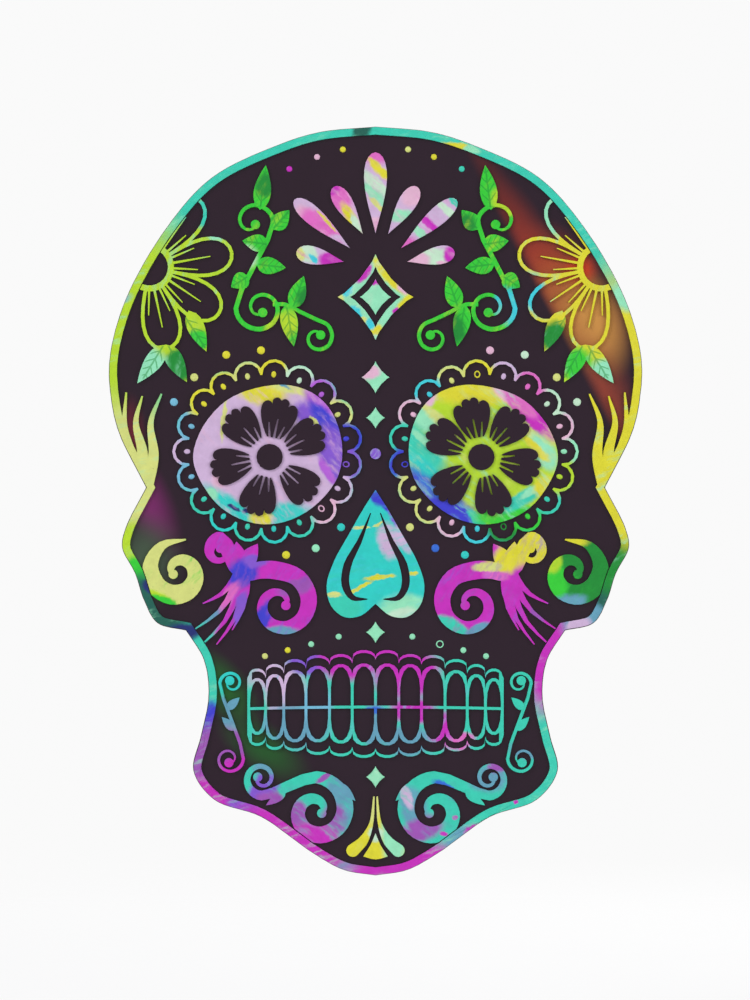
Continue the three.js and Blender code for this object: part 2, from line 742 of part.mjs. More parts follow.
// One petal with three lobes and three thin slots at its foot, turned about the flower's middle.
function petal(centre, turn) {
  const length = petalEnd - petalStart;
  const pairs = (shares, sign) => shares.map(([forth, side]) => plane(
    petalStart + forth * length,
    sign * side * petalHalfWidth,
  ));
  const half = (sign) => [
    ...smooth(pairs(petalSideShares, sign), lobeSteps),
    ...smooth(pairs(petalTipShares, sign), lobeSteps).slice(1),
  ];
  const lower = half(-1);
  const upper = half(1).slice(0, -1).reverse();
  const slots = [...filamentShares].reverse().flatMap(([side, reach]) => {
    const foot = side * petalHalfWidth;
    const tip = foot * filamentLeanShare;
    return [
      plane(petalStart, foot + filamentWidth / 2),
      plane(petalStart + reach * length, tip + filamentTipWidth / 2),
      plane(petalStart + reach * length, tip - filamentTipWidth / 2),
      plane(petalStart, foot - filamentWidth / 2),
    ];
  });
  const flat = [...lower, ...upper, ...slots];
  const end = polar(centre, petalEnd, turn);
  return laid(centre, end, flat.map((point) => [point.x, point.y]));
}

function makeEyes() {
  const edges = [scallops(eyeMiddle, scallopRadius), scallops(eyeMiddle, scallopRadius - lineWidth)];
  const disk = smooth(eyeDiscShares.map(([across, up]) => plane(
    eyeMiddle.x + across * eyeHalfWidth,
    eyeMiddle.y + up * eyeHalfHeight,
  )), curveSteps, true);
  const flower = plane(
    eyeMiddle.x + eyeFlowerShares[0] * eyeHalfWidth,
    eyeMiddle.y + eyeFlowerShares[1] * eyeHalfHeight,
  );
  ['right', 'left'].forEach((side) => {
    const turned = (loop) => (side === 'right' ? loop : mirrored(loop));
    const [outer, inner] = edges.map(turned);
    add(reliefLayer, `eye_ring_${side}`, plate(outer, reliefThickness, [inner]), tint('#7fc8e8'));
    const colour = side === 'right' ? '#d6dc32' : '#d4b4d6';
    add(reliefLayer, `eye_disc_${side}`, plate(turned(disk), reliefThickness), tint(colour));
    const hub = turned(disc(flower, flowerHubRadius));
    add(overlayLayer, `eye_centre_${side}`, plate(hub, overlayThickness), panelFinish);
    petalTurns.forEach((turn, index) => {
      const loop = turned(petal(flower, radians(turn)));
      add(overlayLayer, `eye_petal_${side}_${index + 1}`, plate(loop, overlayThickness), panelFinish);
    });
  });
}

function makeBrow() {
  dropShares.forEach(([round, tip], rank) => {
    const name = `brow_drop_${dropRanks[rank]}`;
    const loop = drop(onSkull(round), onSkull(tip), rank === 0 ? middleDropWidth : dropWidth);
    const shape = plate(loop, reliefThickness);
    if (rank === 0) {
      add(reliefLayer, name, shape, tint('#d8c6b0'));
      return;
    }
    add(reliefLayer, `${name}_right`, shape, tint('#a9c9a6'));
    add(reliefLayer, `${name}_left`, shape, tint('#d262c0')).scale.x = -1;
  });
  const lozenge = onSkull([0, lozengeHeightShare]);
  const frame = bowedDiamond(lozenge, lozengeHalfWidth, lozengeHalfHeight);
  const opening = bowedDiamond(
    lozenge,
    lozengeHalfWidth - 2 * lozengeBand,
    lozengeHalfHeight - 2 * lozengeBand,
  );
  const core = bowedDiamond(lozenge, coreHalfWidth, coreHalfHeight);
  add(reliefLayer, 'brow_lozenge_frame', plate(frame, reliefThickness, [opening]), tint('#d8b0c8'));
  add(reliefLayer, 'brow_lozenge_core', plate(core, reliefThickness), tint('#8fe0b8'));
  const diamonds = [
    ['bridge_diamond_upper', bridgeUpperHeightShare, bridgeHalfWidth, bridgeHalfHeight],
    ['bridge_diamond_lower', bridgeLowerHeightShare, smallHalfWidth, smallHalfHeight],
    ['philtrum_diamond', philtrumHeightShare, smallHalfWidth, smallHalfHeight],
    ['chin_diamond', chinDiamondHeightShare, smallHalfWidth, smallHalfHeight],
  ];
  diamonds.forEach(([name, heightShare, halfWidth, halfHeight]) => {
    const loop = bowedDiamond(onSkull([0, heightShare]), halfWidth, halfHeight);
    add(reliefLayer, name, plate(loop, reliefThickness), tint('#a8e0b4'));
  });
  const bead = disc(onSkull([0, bridgeBeadHeightShare]), bridgeBeadRadius);
  add(reliefLayer, 'bridge_bead', plate(bead, reliefThickness), tint('#b482d7'));
}

// An S of two curls, with round ends.
function scroll(curls, width, widthShares) {
  const path = curls.flatMap(curl);
  return [
    windingBand(path, width, widthShares),
    disc(path[0], ballRadius, ballSides),
    disc(path[path.length - 1], ballRadius, ballSides),
  ];
}

const leaves = (shares, width) => shares.map(([base, tip]) => leaf(onSkull(base), onSkull(tip), width));

function makeVines() {
  const branch = [...onSkullAll(browBranchShares), ...curl(browCurlShares[2])];
  const loops = [
    ...scroll(browCurlShares.slice(0, 2), vineWidth, curlWidthShares),
    windingBand(branch, vineWidth, taperShares),
    disc(branch[branch.length - 1], ballRadius, ballSides),
    ...leaves(browLeafShares, leafWidth),
  ];
  const finish = { right: tint('#3ccf46'), left: tint('#32c832') };
  addPair('vine', loops, [], finish, templePetals().map(placeOf));
}

// The temple flower's petals, each a drop from its round end in to the hub.
function templePetals(width = petalWidth + petalLineWidth) {
  const hub = onSkull(templePlaceShares);
  const reach = templePetalLength + (width - petalWidth) / 2;
  return templeTurns.map((degrees) => drop(polar(hub, reach, radians(degrees)), hub, width));
}

function makeTempleFlowers() {
  const hub = onSkull(templePlaceShares);
  const loops = [disc(hub, templeHubRadius + templeHubBand, dropSides)];
  templePetals(petalWidth).forEach((rim, rank) => {
    const half = rim.length / 2;
    loops.push(ribbon(rim.slice(0, half + 1), petalLineWidth, evenShares, 1));
    loops.push(ribbon([...rim.slice(half), rim[0]], petalLineWidth, evenShares, 1));
    templeRayTurns.forEach((aside, index) => {
      const turn = radians(templeTurns[rank] + aside);
      const tip = polar(hub, templePetalLength * templeRayShares[index], turn);
      loops.push(ribbon([hub, tip], rayWidth, spikeShares, 1));
    });
  });
  templeLeafTurns.forEach((turns, index) => {
    const [base, tip] = turns.map((degrees, end) => polar(
      hub,
      templePetalLength * templeLeafShares[index][end],
      radians(degrees),
    ));
    loops.push(leaf(base, tip, leafWidth));
  });
  const finish = { right: tint('#dcd632'), left: tint('#b2d628') };
  addPair('temple_flower', loops, [disc(hub, templeHubRadius, dropSides)], finish);
}

function makeNose() {
  const right = smooth(onSkullAll(noseShares), lobeSteps);
  const left = right.slice(1, -1).map((point) => plane(-point.x, point.y));
  const loop = [...left, right[right.length - 1], ...right.slice(1, -1).reverse(), right[0]];
  const slot = ribbon(onSkullAll(nostrilShares), nostrilWidth, nostrilWidthShares, lobeSteps);
  add(reliefLayer, 'nose_heart', plate(loop, reliefThickness, [slot, mirrored(slot)]), tint('#2dc8c3'));
}

// The strokes fan out from one place, each with the same slight bow.
function fanStrokes() {
  const place = onSkull(fanPlaceShares);
  return fanLengthShares.map((share, index) => {
    const turn = THREE.MathUtils.lerp(fanFirstTurn, fanLastTurn, index / (fanLengthShares.length - 1));
    const reach = fanLength * share;
    const end = polar(place, reach, radians(turn));
    const path = laid(place, end, fanBowShares.map(([forth, aside]) => [forth * reach, aside * reach]));
    return ribbon(path, strokeWidth, spikeShares, curlSteps);
  });
}

function makeCheeks() {
  const [outer, start, inner] = cheekCurlShares;
  const side = curl(outer);
  const moon = [
    windingBand(side, moonWidth, moonWidthShares),
    disc(side[side.length - 1], ballRadius, ballSides),
  ];
  const finish = { right: tint('#2da546'), left: tint('#c8d278') };
  addPair('cheek_moon', moon, [], finish, fanStrokes().map(placeOf));
  const path = [...curl(start), ...onSkullAll(cheekStemShares), ...curl(inner)];
  const whole = [
    windingBand(path, scrollWidth, cheekWidthShares),
    disc(path[0], ballRadius, ballSides),
    disc(path[path.length - 1], ballRadius, ballSides),
    ...fanStrokes(),
    ...leaves(cheekLeafShares, leafWidth),
  ];
  addPair('cheek_scroll', whole, [], { right: tint('#c32db4'), left: tint('#be2db4') });
}

// The inner and outer edge of a tooth column.
const toothEdges = (rank) => toothEdgeShares.slice(rank, rank + 2).map((share) => share * skullHalfWidth);

// The edge of a row of arches over the tooth columns, from the left end to the right.
function archRow(peaks, dipShare, shrink, sign) {
  const heights = peaks.map((share) => sign * onSkull([0, share]).y - shrink);
  const dip = dipShare * skullHeight;
  const right = [];
  heights.forEach((height, rank) => {
    const [low, high] = toothEdges(rank);
    const cusp = Math.min(height, heights[Math.max(rank - 1, 0)]) - dip;
    right.push(plane(low, sign * cusp));
    for (let cut = 1; cut < archSteps; cut += 1) {
      const turn = Math.PI * (1 - cut / archSteps);
      const across = (low + high) / 2 + ((high - low) / 2) * Math.cos(turn);
      right.push(plane(across, sign * (height - dip * (1 - Math.sin(turn)))));
    }
  });
  const end = toothEdgeShares[heights.length] * skullHalfWidth;
  right.push(plane(end, sign * (heights[heights.length - 1] - dip)));
  return [...mirrored(right.slice(1)), ...right];
}

// One tooth's opening, from the bite line to the top of its arch.
function toothOpening(column, peaks, sign) {
  const rank = column < 0 ? -column - 1 : column;
  const edges = toothEdges(rank);
  const [low, high] = column < 0 ? [-edges[1], -edges[0]] : edges;
  const sagged = (across) => onSkull([0, biteHeightShare]).y - biteSag * (across / skullHalfWidth) ** 2;
  const bite = (across) => sagged(across) + (sign * lineWidth) / 2;
  const peak = onSkull([0, peaks[rank]]).y - sign * lineWidth;
  const rise = toothArchShare * skullHeight;
  const half = (high - low - lineWidth) / 2;
  const loop = [];
  for (let cut = 0; cut <= archSteps; cut += 1) {
    const turn = (cut / archSteps) * Math.PI;
    loop.push(plane((low + high) / 2 + half * Math.cos(turn), peak - sign * rise * (1 - Math.sin(turn))));
  }
  [-half, half].forEach((side) => loop.push(plane((low + high) / 2 + side, bite((low + high) / 2 + side))));
  return loop;
}

function makeTeeth() {
  const end = toothEdgeShares[toothEdgeShares.length - 1] * skullHalfWidth;
  const corner = (side, share) => plane(side * (end + lineWidth / 2), onSkull([0, share]).y);
  const last = upperGumShares.length - 1;
  const outer = [
    ...archRow(upperGumShares, gumDipShare, 0, 1),
    corner(1, upperToothShares[last]),
    corner(1, lowerToothShares[last]),
    ...archRow(lowerGumShares, gumDipShare, 0, -1).reverse(),
    corner(-1, lowerToothShares[last]),
    corner(-1, upperToothShares[last]),
  ];
  const strip = (gums, peaks, sign) => {
    const inside = (point) => Math.abs(point.x) < end - lineWidth / 2;
    const far = archRow(gums, gumDipShare, lineWidth, sign).filter(inside);
    const near = archRow(peaks, toothArchShare / 2, 0, sign).filter(inside);
    return [...far, ...near.reverse()];
  };
  const holes = [strip(upperGumShares, upperToothShares, 1), strip(lowerGumShares, lowerToothShares, -1)];
  for (let column = -upperToothShares.length; column < upperToothShares.length; column += 1) {
    holes.push(toothOpening(column, upperToothShares, 1), toothOpening(column, lowerToothShares, -1));
  }
  add(reliefLayer, 'teeth_frame', replated(joined([outer], holes)), tint('#6fb4dc'));
}

function makeJaw() {
  const loops = [
    ...scroll(jawCurlShares, lineWidth, curlWidthShares),
    ...leaves(jawLeafShares, leafWidth / 2),
  ];
  const finish = { right: tint('#46c8b4'), left: tint('#7864c8') };
  addPair('jaw_vine', loops, [], finish, fanStrokes().map(placeOf));
}

function makeChin() {
  const loops = [
    ...scroll(chinCurlShares, scrollWidth, chinWidthShares),
    ...leaves(chinLeafShares, leafWidth / 2),
  ];
  addPair('chin_scroll', loops, [], { right: tint('#50c8b4'), left: tint('#8cb4c8') });
  const side = onSkullAll(chinDropShares);
  const sideDrop = [
    ribbon(side, chinDropWidth, chinDropWidthShares),
    disc(side[side.length - 1], chinDropWidth / 2),
  ];
  addPair('chin_drop', sideDrop, [], { right: tint('#aadcb4'), left: tint('#e0d232') });
  const top = onSkull([0, chinFanTopShare]);
  const foot = onSkull([0, chinFanFootShare]);
  const fan = smooth([
    plane(-fanHalfWidth, foot.y),
    plane(0, foot.y - fanHalfWidth / 4),
    plane(fanHalfWidth, foot.y),
  ]);
  const flank = smooth([
    plane(fanHalfWidth, foot.y),
    plane(fanHalfWidth * fanWaistShare, (foot.y + top.y) / 2),
    plane(0, top.y),
  ]);
  const loop = [...fan, ...flank.slice(1, -1), top, ...mirrored(flank.slice(1, -1))];
  add(reliefLayer, 'chin_drop_middle', plate(loop, reliefThickness), tint('#e0d232'));
}

makeBoard();
makePads();
makeStrap();
makeScrew();
makeRing();
makeRim();
makeEyes();
makeBrow();
makeVines();
makeTempleFlowers();
makeNose();
makeCheeks();
makeTeeth();
makeJaw();
makeChin();

export default plaque;
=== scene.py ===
# %% [markdown]
# # A sugar skull wall plaque
# The real object is a flat stack of cut pieces: a stained fibreboard back, a gloss aubergine-black face
# panel on it, and on the panel the coloured pieces of a sugar skull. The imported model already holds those
# pieces at their real size, so this lesson gives them their finishes, rounds their edges a little and adds
# what is too small or too smooth for it: raised ink dots, leaf veins, the wire ring and its fittings.

# %% Load the frame
import math

import bpy
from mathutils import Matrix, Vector


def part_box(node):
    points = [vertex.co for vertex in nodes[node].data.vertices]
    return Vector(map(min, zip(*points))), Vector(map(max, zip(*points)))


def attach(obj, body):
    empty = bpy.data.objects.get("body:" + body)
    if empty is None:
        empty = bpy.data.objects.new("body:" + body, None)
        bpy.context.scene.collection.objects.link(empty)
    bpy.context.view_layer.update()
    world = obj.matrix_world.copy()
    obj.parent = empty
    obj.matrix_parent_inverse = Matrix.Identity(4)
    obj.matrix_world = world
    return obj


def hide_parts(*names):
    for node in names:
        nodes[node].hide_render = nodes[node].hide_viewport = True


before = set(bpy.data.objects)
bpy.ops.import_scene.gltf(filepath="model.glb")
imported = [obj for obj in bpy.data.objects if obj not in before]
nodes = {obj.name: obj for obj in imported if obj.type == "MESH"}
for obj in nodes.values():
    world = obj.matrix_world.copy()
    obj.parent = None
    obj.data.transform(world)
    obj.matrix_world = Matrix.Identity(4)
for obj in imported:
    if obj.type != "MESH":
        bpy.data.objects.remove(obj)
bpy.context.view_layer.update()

# %% [markdown]
# Blender works in metres, and this plaque's sizes are in millimetres. Places on the face are given as a
# share of the skull's half width, from the middle line, and a share of its height, from the chin, so that
# they follow the board of the frame.

# %% Measures of the face
MM = 0.001
board_low, board_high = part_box("back_board")
half_width = (board_high.x - board_low.x) / 2
skull_height = board_high.z - board_low.z
panel_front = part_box("face_panel")[0].y
relief_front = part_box("rim_band")[0].y


def on_face(across, up):
    """The x and z of a place on the face."""
    return across * half_width, board_low.z + up * skull_height


print(f"half width {half_width / MM:.1f} mm, height {skull_height / MM:.1f} mm")

# %% [markdown]
# ## Writing a finish
# A finish is a tree of small nodes. Written as sums it stays readable, so one class wraps a node's output
# and turns plus, minus and times into Math nodes.


# %% A socket that can be summed
class Socket:
    """A node's output, on which sums can be written."""

    def __init__(self, finish, output):
        self.finish = finish
        self.output = output

    def __add__(self, other):
        return self.finish.math("ADD", self, other)

    def __sub__(self, other):
        return self.finish.math("SUBTRACT", self, other)

    def __rsub__(self, other):
        return self.finish.math("SUBTRACT", other, self)

    def __mul__(self, other):
        return self.finish.math("MULTIPLY", self, other)

    __radd__ = __add__
    __rmul__ = __mul__


# %% [markdown]
# Every other node comes from one method: its settings are made first, because they decide which sockets it
# has, and then its sockets get a value or a link. The methods after it are patterns for all finishes.


# %% A finish and its one way to make a node
class Finish:
    """A material under construction."""

    def __init__(self, name, tree=None):
        if tree is None:
            self.material = bpy.data.materials.new(name)
            self.material.use_nodes = True
            tree = self.material.node_tree
        self.tree = tree
        self.tree.nodes.clear()

    def node(self, kind, settings=None, sockets=None, output=0):
        made = self.tree.nodes.new("ShaderNode" + kind)
        for name, value in (settings or {}).items():
            setattr(made, name, value)
        for name, value in (sockets or {}).items():
            if isinstance(value, Socket):
                self.tree.links.new(value.output, made.inputs[name])
            else:
                made.inputs[name].default_value = value
        return Socket(self, made.outputs[output])

    def math(self, operation, *values):
        return self.node("Math", {"operation": operation}, dict(enumerate(values)))

    def vector_math(self, operation, values, output=0):
        return self.node("VectorMath", {"operation": operation}, values, output)

    def place(self):
        return self.node("TexCoord", output="Object")

    def noise(self, place, scale, detail=3.0, roughness=0.55, output="Fac"):
        sockets = {"Vector": place, "Scale": scale, "Detail": detail, "Roughness": roughness}
        return self.node("TexNoise", sockets=sockets, output=output)

    def turned(self, place, centre, turn, reach):
        """The place in a frame that sits at centre, turned by degrees as seen from the front."""
        rotation = (0, -math.radians(turn), 0)
        sockets = {"Vector": place, "Location": centre, "Rotation": rotation, "Scale": reach}
        return self.node("Mapping", {"vector_type": "TEXTURE"}, sockets)

    def step(self, value, low, high):
        """Rises smoothly from 0 at low to 1 at high."""
        sockets = {"Value": value, "From Min": low, "From Max": high}
        return self.node("MapRange", {"interpolation_type": "SMOOTHSTEP"}, sockets)

    def mix(self, mask, under, over):
        return self.node("Mix", {"data_type": "RGBA"}, {0: mask, 6: under, 7: over}, output=2)

    def dim(self, colour, value):
        """A colour made darker or brighter by a factor."""
        plain = colour[:3] if isinstance(colour, tuple) else colour
        return self.vector_math("SCALE", {0: plain, "Scale": value})

    def ragged(self, place, scale, reach, detail=4.0):
        """The place pushed about by a noise, so that what is drawn on it gets uneven borders."""
        drift = self.noise(place, scale, detail, output="Color")
        even = self.vector_math("SUBTRACT", {0: drift, 1: (0.5, 0.5, 0.5)})
        return self.vector_math("MULTIPLY_ADD", {0: even, 1: (reach,) * 3, 2: place})

    def patch(self, place, softness, across, up, length, width, turn=0):
        """1 inside an ellipse, fading to 0 over its border."""
        x, z = on_face(across, up)
        local = self.turned(place, (x, 0, z), turn, (length * MM, 1, width * MM))
        return self.step(self.length(local), 1 + softness, 1 - softness)

    def part(self, place, axis):
        return self.node("SeparateXYZ", sockets={0: place}, output=axis)

    def length(self, vector):
        return self.vector_math("LENGTH", {0: vector}, "Value")

    def absolute(self, value):
        return self.math("ABSOLUTE", value)

    def larger(self, left, right):
        return self.math("MAXIMUM", left, right)

    def folded(self, place):
        """The place with its left half laid on its right half."""
        across = self.absolute(self.part(place, "X"))
        return self.node("CombineXYZ", sockets={0: across, 1: 0.0, 2: self.part(place, "Z")})

    def leaf_veins(self, place, base, tip, width):
        """1 on the veins of a leaf from base to tip: a midrib, and pairs of veins that leave it."""
        start, end = Vector(on_face(*base)), Vector(on_face(*tip))
        middle = (start + end) / 2
        turn = math.degrees(math.atan2(end.y - start.y, end.x - start.x))
        reach = ((end - start).length / 2, 1, width / 2)
        local = self.turned(place, (middle.x, 0, middle.y), turn, reach)
        along, aside = self.part(local, "X"), self.absolute(self.part(local, "Z"))
        inside = self.step(self.length(local), 0.9, 0.75)
        rib = self.step(aside, 0.14, 0.06) * self.step(self.absolute(along), 0.95, 0.8)
        row = self.math("FRACT", along * 2.4 - aside * 1.1)
        pairs = self.step(self.absolute(row - 0.5), 0.14, 0.07)
        return self.larger(rib, pairs * inside)

    def surface(self, colour, roughness, height=None, depth=0.0, **constants):
        """Closes the finish. What varies is linked, and what is the same all over is set on its socket."""
        sockets = {"Base Color": colour, "Roughness": roughness}
        if height is not None:
            bump = {"Height": height, "Strength": 1.0, "Distance": depth}
            sockets["Normal"] = self.node("Bump", sockets=bump, output="Normal")
        names = {"coat": "Coat Weight", "coat_roughness": "Coat Roughness", "specular": "Specular IOR Level",
                 "metallic": "Metallic"}
        sockets.update({names[name]: value for name, value in constants.items()})
        shader = self.node("BsdfPrincipled", sockets=sockets, output="BSDF")
        self.node_end("OutputMaterial", shader)
        return self.material

    def node_end(self, kind, shader):
        end = self.tree.nodes.new("ShaderNode" + kind)
        self.tree.links.new(shader.output, end.inputs["Surface"])


print("finish tools ready")

# %% [markdown]
# ## The inks
# The coloured pieces are printed with marbled ink under a satin coat: soft-edged pools of colour that run
# into each other, with streaks, paler blooms and fine specks. The colours were matched.

# %% Ink colours
def rgb(red, green, blue):
    """A colour as the eye reads it off a screen, 0 to 255, made linear."""
    def linear(value):
        share = value / 255
        return share / 12.92 if share <= 0.04045 else ((share + 0.055) / 1.055) ** 2.4

    return linear(red), linear(green), linear(blue), 1.0


teal = rgb(52, 190, 166)
sea = rgb(40, 190, 182)
aqua = rgb(58, 190, 204)
mint = rgb(138, 212, 174)
pale_mint = rgb(182, 214, 188)
lime = rgb(168, 202, 42)
yellow = rgb(206, 200, 46)
cream = rgb(198, 204, 118)
leaf_green = rgb(48, 190, 50)
deep_green = rgb(22, 128, 46)
bottle = rgb(26, 88, 76)
magenta = rgb(184, 40, 174)
pink = rgb(206, 98, 180)
pale_pink = rgb(212, 168, 194)
lilac = rgb(192, 166, 200)
orchid = rgb(166, 88, 198)
violet = rgb(122, 80, 192)
mauve = rgb(146, 76, 166)
indigo = rgb(56, 56, 190)
blue = rgb(46, 98, 196)
slate = rgb(92, 148, 172)
sky = rgb(108, 172, 200)
navy = rgb(28, 40, 102)
print("teal, made linear:", [round(value, 3) for value in teal])

# %% [markdown]
# Each ink starts from a ground colour. Pools are ellipses whose places are pushed about by a noise, which
# gives them a watercolour's uneven border. Brushed streaks are a noise stretched along one direction.

# %% A marbled ink
pool_border = 0.3
streak_length = 11 * MM
streak_width = 2.4 * MM
streak_thinning = 0.6 * MM
leaf_width = 7 * MM


def ink(name, ground, pools, streaks=(), lean=35.0, speck=navy, leaves=(), vein=navy):
    """A marbled ink. Each pool is a colour, its place on the face, its half length and half width in
    millimetres and, if it has one, its turn in degrees. The streaks are colours, brushed on at the turn
    lean. Each leaf is its base and its tip."""
    finish = Finish(name)
    place = finish.place()
    wide = finish.ragged(place, 80.0, 5 * MM)
    loose = finish.ragged(wide, 600.0, 1.5 * MM)
    colour = ground
    for pool, *ellipse in pools:
        colour = finish.mix(finish.patch(loose, pool_border, *ellipse), colour, pool)
    for rank, streak in enumerate(streaks):
        reach = (streak_length, 1.0, streak_width - streak_thinning * rank)
        brushed = finish.turned(loose, (0.1 * rank, 0, 0), lean, reach)
        strokes = finish.noise(brushed, 1.0, 5.0, 0.6)
        thick = finish.noise(finish.turned(place, (0.3 * rank, 0, 0), lean, (1, 1, 1)), 70.0, 2.0)
        marks = finish.step(strokes, 0.46, 0.7) * finish.step(thick, 0.42, 0.6)
        colour = finish.mix(marks * 0.6, colour, streak)
    bloom = finish.noise(loose, 300.0, 5.0, 0.65)
    specks = finish.step(finish.noise(place, 1500.0, 2.0), 0.66, 0.72)
    where = finish.step(finish.noise(place, 110.0, 2.0), 0.5, 0.62)
    colour = finish.mix(specks * where * 0.45, colour, speck)
    colour = finish.dim(colour, 0.78 + 0.36 * bloom)
    folded = finish.folded(finish.ragged(place, 400.0, 0.5 * MM)) if leaves else None
    for base, tip in leaves:
        colour = finish.mix(finish.leaf_veins(folded, base, tip, leaf_width) * 0.6, colour, vein)
    grain = finish.noise(place, 900.0, 3.0)
    print(f"{name}: {len(pools)} pools")
    return finish.surface(
        colour, 0.36 + 0.18 * grain, grain, 0.03 * MM, coat=0.12, coat_roughness=0.3, specular=0.18
    )


def dress(material, *names):
    """Gives CAD nodes their finish."""
    for name in names:
        if not nodes[name].material_slots:
            nodes[name].data.materials.append(material)
        for holder in nodes[name].material_slots:
            holder.material = material


print(f"streaks {streak_length / MM:.0f} mm long and {streak_width / MM:.1f} mm wide")

# %% [markdown]
# The rim runs through every colour of the piece: teal over the crown, lime and cream down the left
# temple, yellow down the right, magenta and violet round the jaw. The pools follow it in that order.

# %% The rim
rim_ink = ink("rim ink", teal, [
    (lime, -0.97, 0.73, 48, 26, 78),
    (sky, -0.99, 0.772, 7, 3),
    (cream, -0.93, 0.53, 32, 19, 88),
    (lime, -0.9, 0.443, 9, 8),
    (leaf_green, -0.88, 0.405, 7, 5, -40),
    (bottle, -0.83, 0.36, 15, 11, -30),
    (navy, -0.84, 0.385, 4, 3, -50),
    (navy, -0.72, 0.325, 9, 4, 10),
    (teal, -0.64, 0.27, 14, 8, 90),
    (indigo, -0.63, 0.21, 7, 6, 60),
    (mauve, -0.62, 0.15, 18, 13, 60),
    (magenta, -0.6, 0.1, 15, 8, -20),
    (violet, -0.48, 0.09, 8, 4, -25),
    (magenta, -0.3, 0.05, 24, 9, -30),
    (slate, -0.08, 0.008, 6, 3),
    (magenta, 0.12, 0.01, 26, 9, 10),
    (slate, 0.33, 0.05, 7, 5, 30),
    (magenta, 0.36, 0.062, 3, 1.6, 30),
    (magenta, 0.53, 0.098, 1, 0.7),
    (magenta, 0.67, 0.29, 21, 10, 80),
    (slate, 0.81, 0.345, 12, 8, 20),
    (lilac, 0.76, 0.335, 5, 3, 20),
    (bottle, 0.87, 0.375, 6, 6),
    (deep_green, 0.91, 0.42, 13, 8, 70),
    (yellow, 0.94, 0.63, 50, 21, -85),
    (yellow, 0.89, 0.505, 20, 8, -65),
    (mint, 0.97, 0.775, 11, 6),
    (yellow, 0.3, 0.973, 5, 1.6, -12),
    (mint, 0.36, 0.966, 3.4, 1.6, -15),
    (bottle, -0.05, 0.995, 3, 5, -30),
], streaks=[mint], lean=20, speck=bottle)
dress(rim_ink, "rim_band")

# %% [markdown]
# The vines are leaf green with lime and pale mint where the ink thins. The temple flowers are drawn in
# lime on the left and in yellow on the right, with teal at their upper petals.

# %% Vines and temple flowers
vine_ink = ink("vine ink", leaf_green, [
    (pale_mint, -0.5, 0.824, 6, 5, 20),
    (lime, -0.35, 0.73, 8, 5, 40),
    (lime, 0.5, 0.9, 7, 6),
    (deep_green, -0.41, 0.92, 5, 4, 60),
    (deep_green, 0.33, 0.87, 5, 4),
    (aqua, 0.5, 0.76, 6, 7),
    (yellow, 0.44, 0.705, 6, 3),
    (deep_green, 0.3, 0.73, 4, 6),
    (deep_green, -0.25, 0.77, 5, 4),
], streaks=[lime, deep_green], lean=60, speck=deep_green, leaves=[
    ((0.432, 0.888), (0.41, 0.948)),
    ((0.384, 0.862), (0.322, 0.888)),
    ((0.402, 0.842), (0.498, 0.847)),
    ((0.446, 0.816), (0.335, 0.811)),
    ((0.476, 0.8), (0.54, 0.785)),
    ((0.31, 0.757), (0.268, 0.8)),
    ((0.335, 0.762), (0.305, 0.706)),
], vein=deep_green)
dress(vine_ink, "vine_left", "vine_right")

flower_ink = ink("flower ink", lime, [
    (yellow, 0.85, 0.8, 44, 34),
    (teal, -0.82, 0.885, 14, 9, 30),
    (teal, -0.64, 0.885, 9, 6),
    (mint, -0.6, 0.86, 4, 4),
    (lime, -0.62, 0.72, 9, 8),
    (deep_green, -0.74, 0.68, 10, 6, 45),
    (mint, -0.86, 0.68, 8, 8),
    (leaf_green, -0.66, 0.715, 5, 4),
    (mint, 0.65, 0.88, 7, 8),
    (aqua, 0.6, 0.775, 5, 9, 20),
    (mint, 0.93, 0.87, 10, 7),
    (deep_green, 0.67, 0.72, 6, 6),
    (leaf_green, 0.76, 0.68, 6, 8),
    (mint, 0.86, 0.67, 6, 6),
], streaks=[mint], lean=70, speck=deep_green, leaves=[
    ((0.723, 0.751), (0.63, 0.7)),
    ((0.78, 0.71), (0.7, 0.66)),
    ((0.79, 0.71), (0.875, 0.66)),
], vein=deep_green)
dress(flower_ink, "temple_flower_left", "temple_flower_right")

# %% [markdown]
# The drops of the brow are watercolour pinks: lilac, magenta and mint cross them as slanting brush
# strokes. The lozenge changes colour at every side, and the small diamonds go from mint to pale pink.

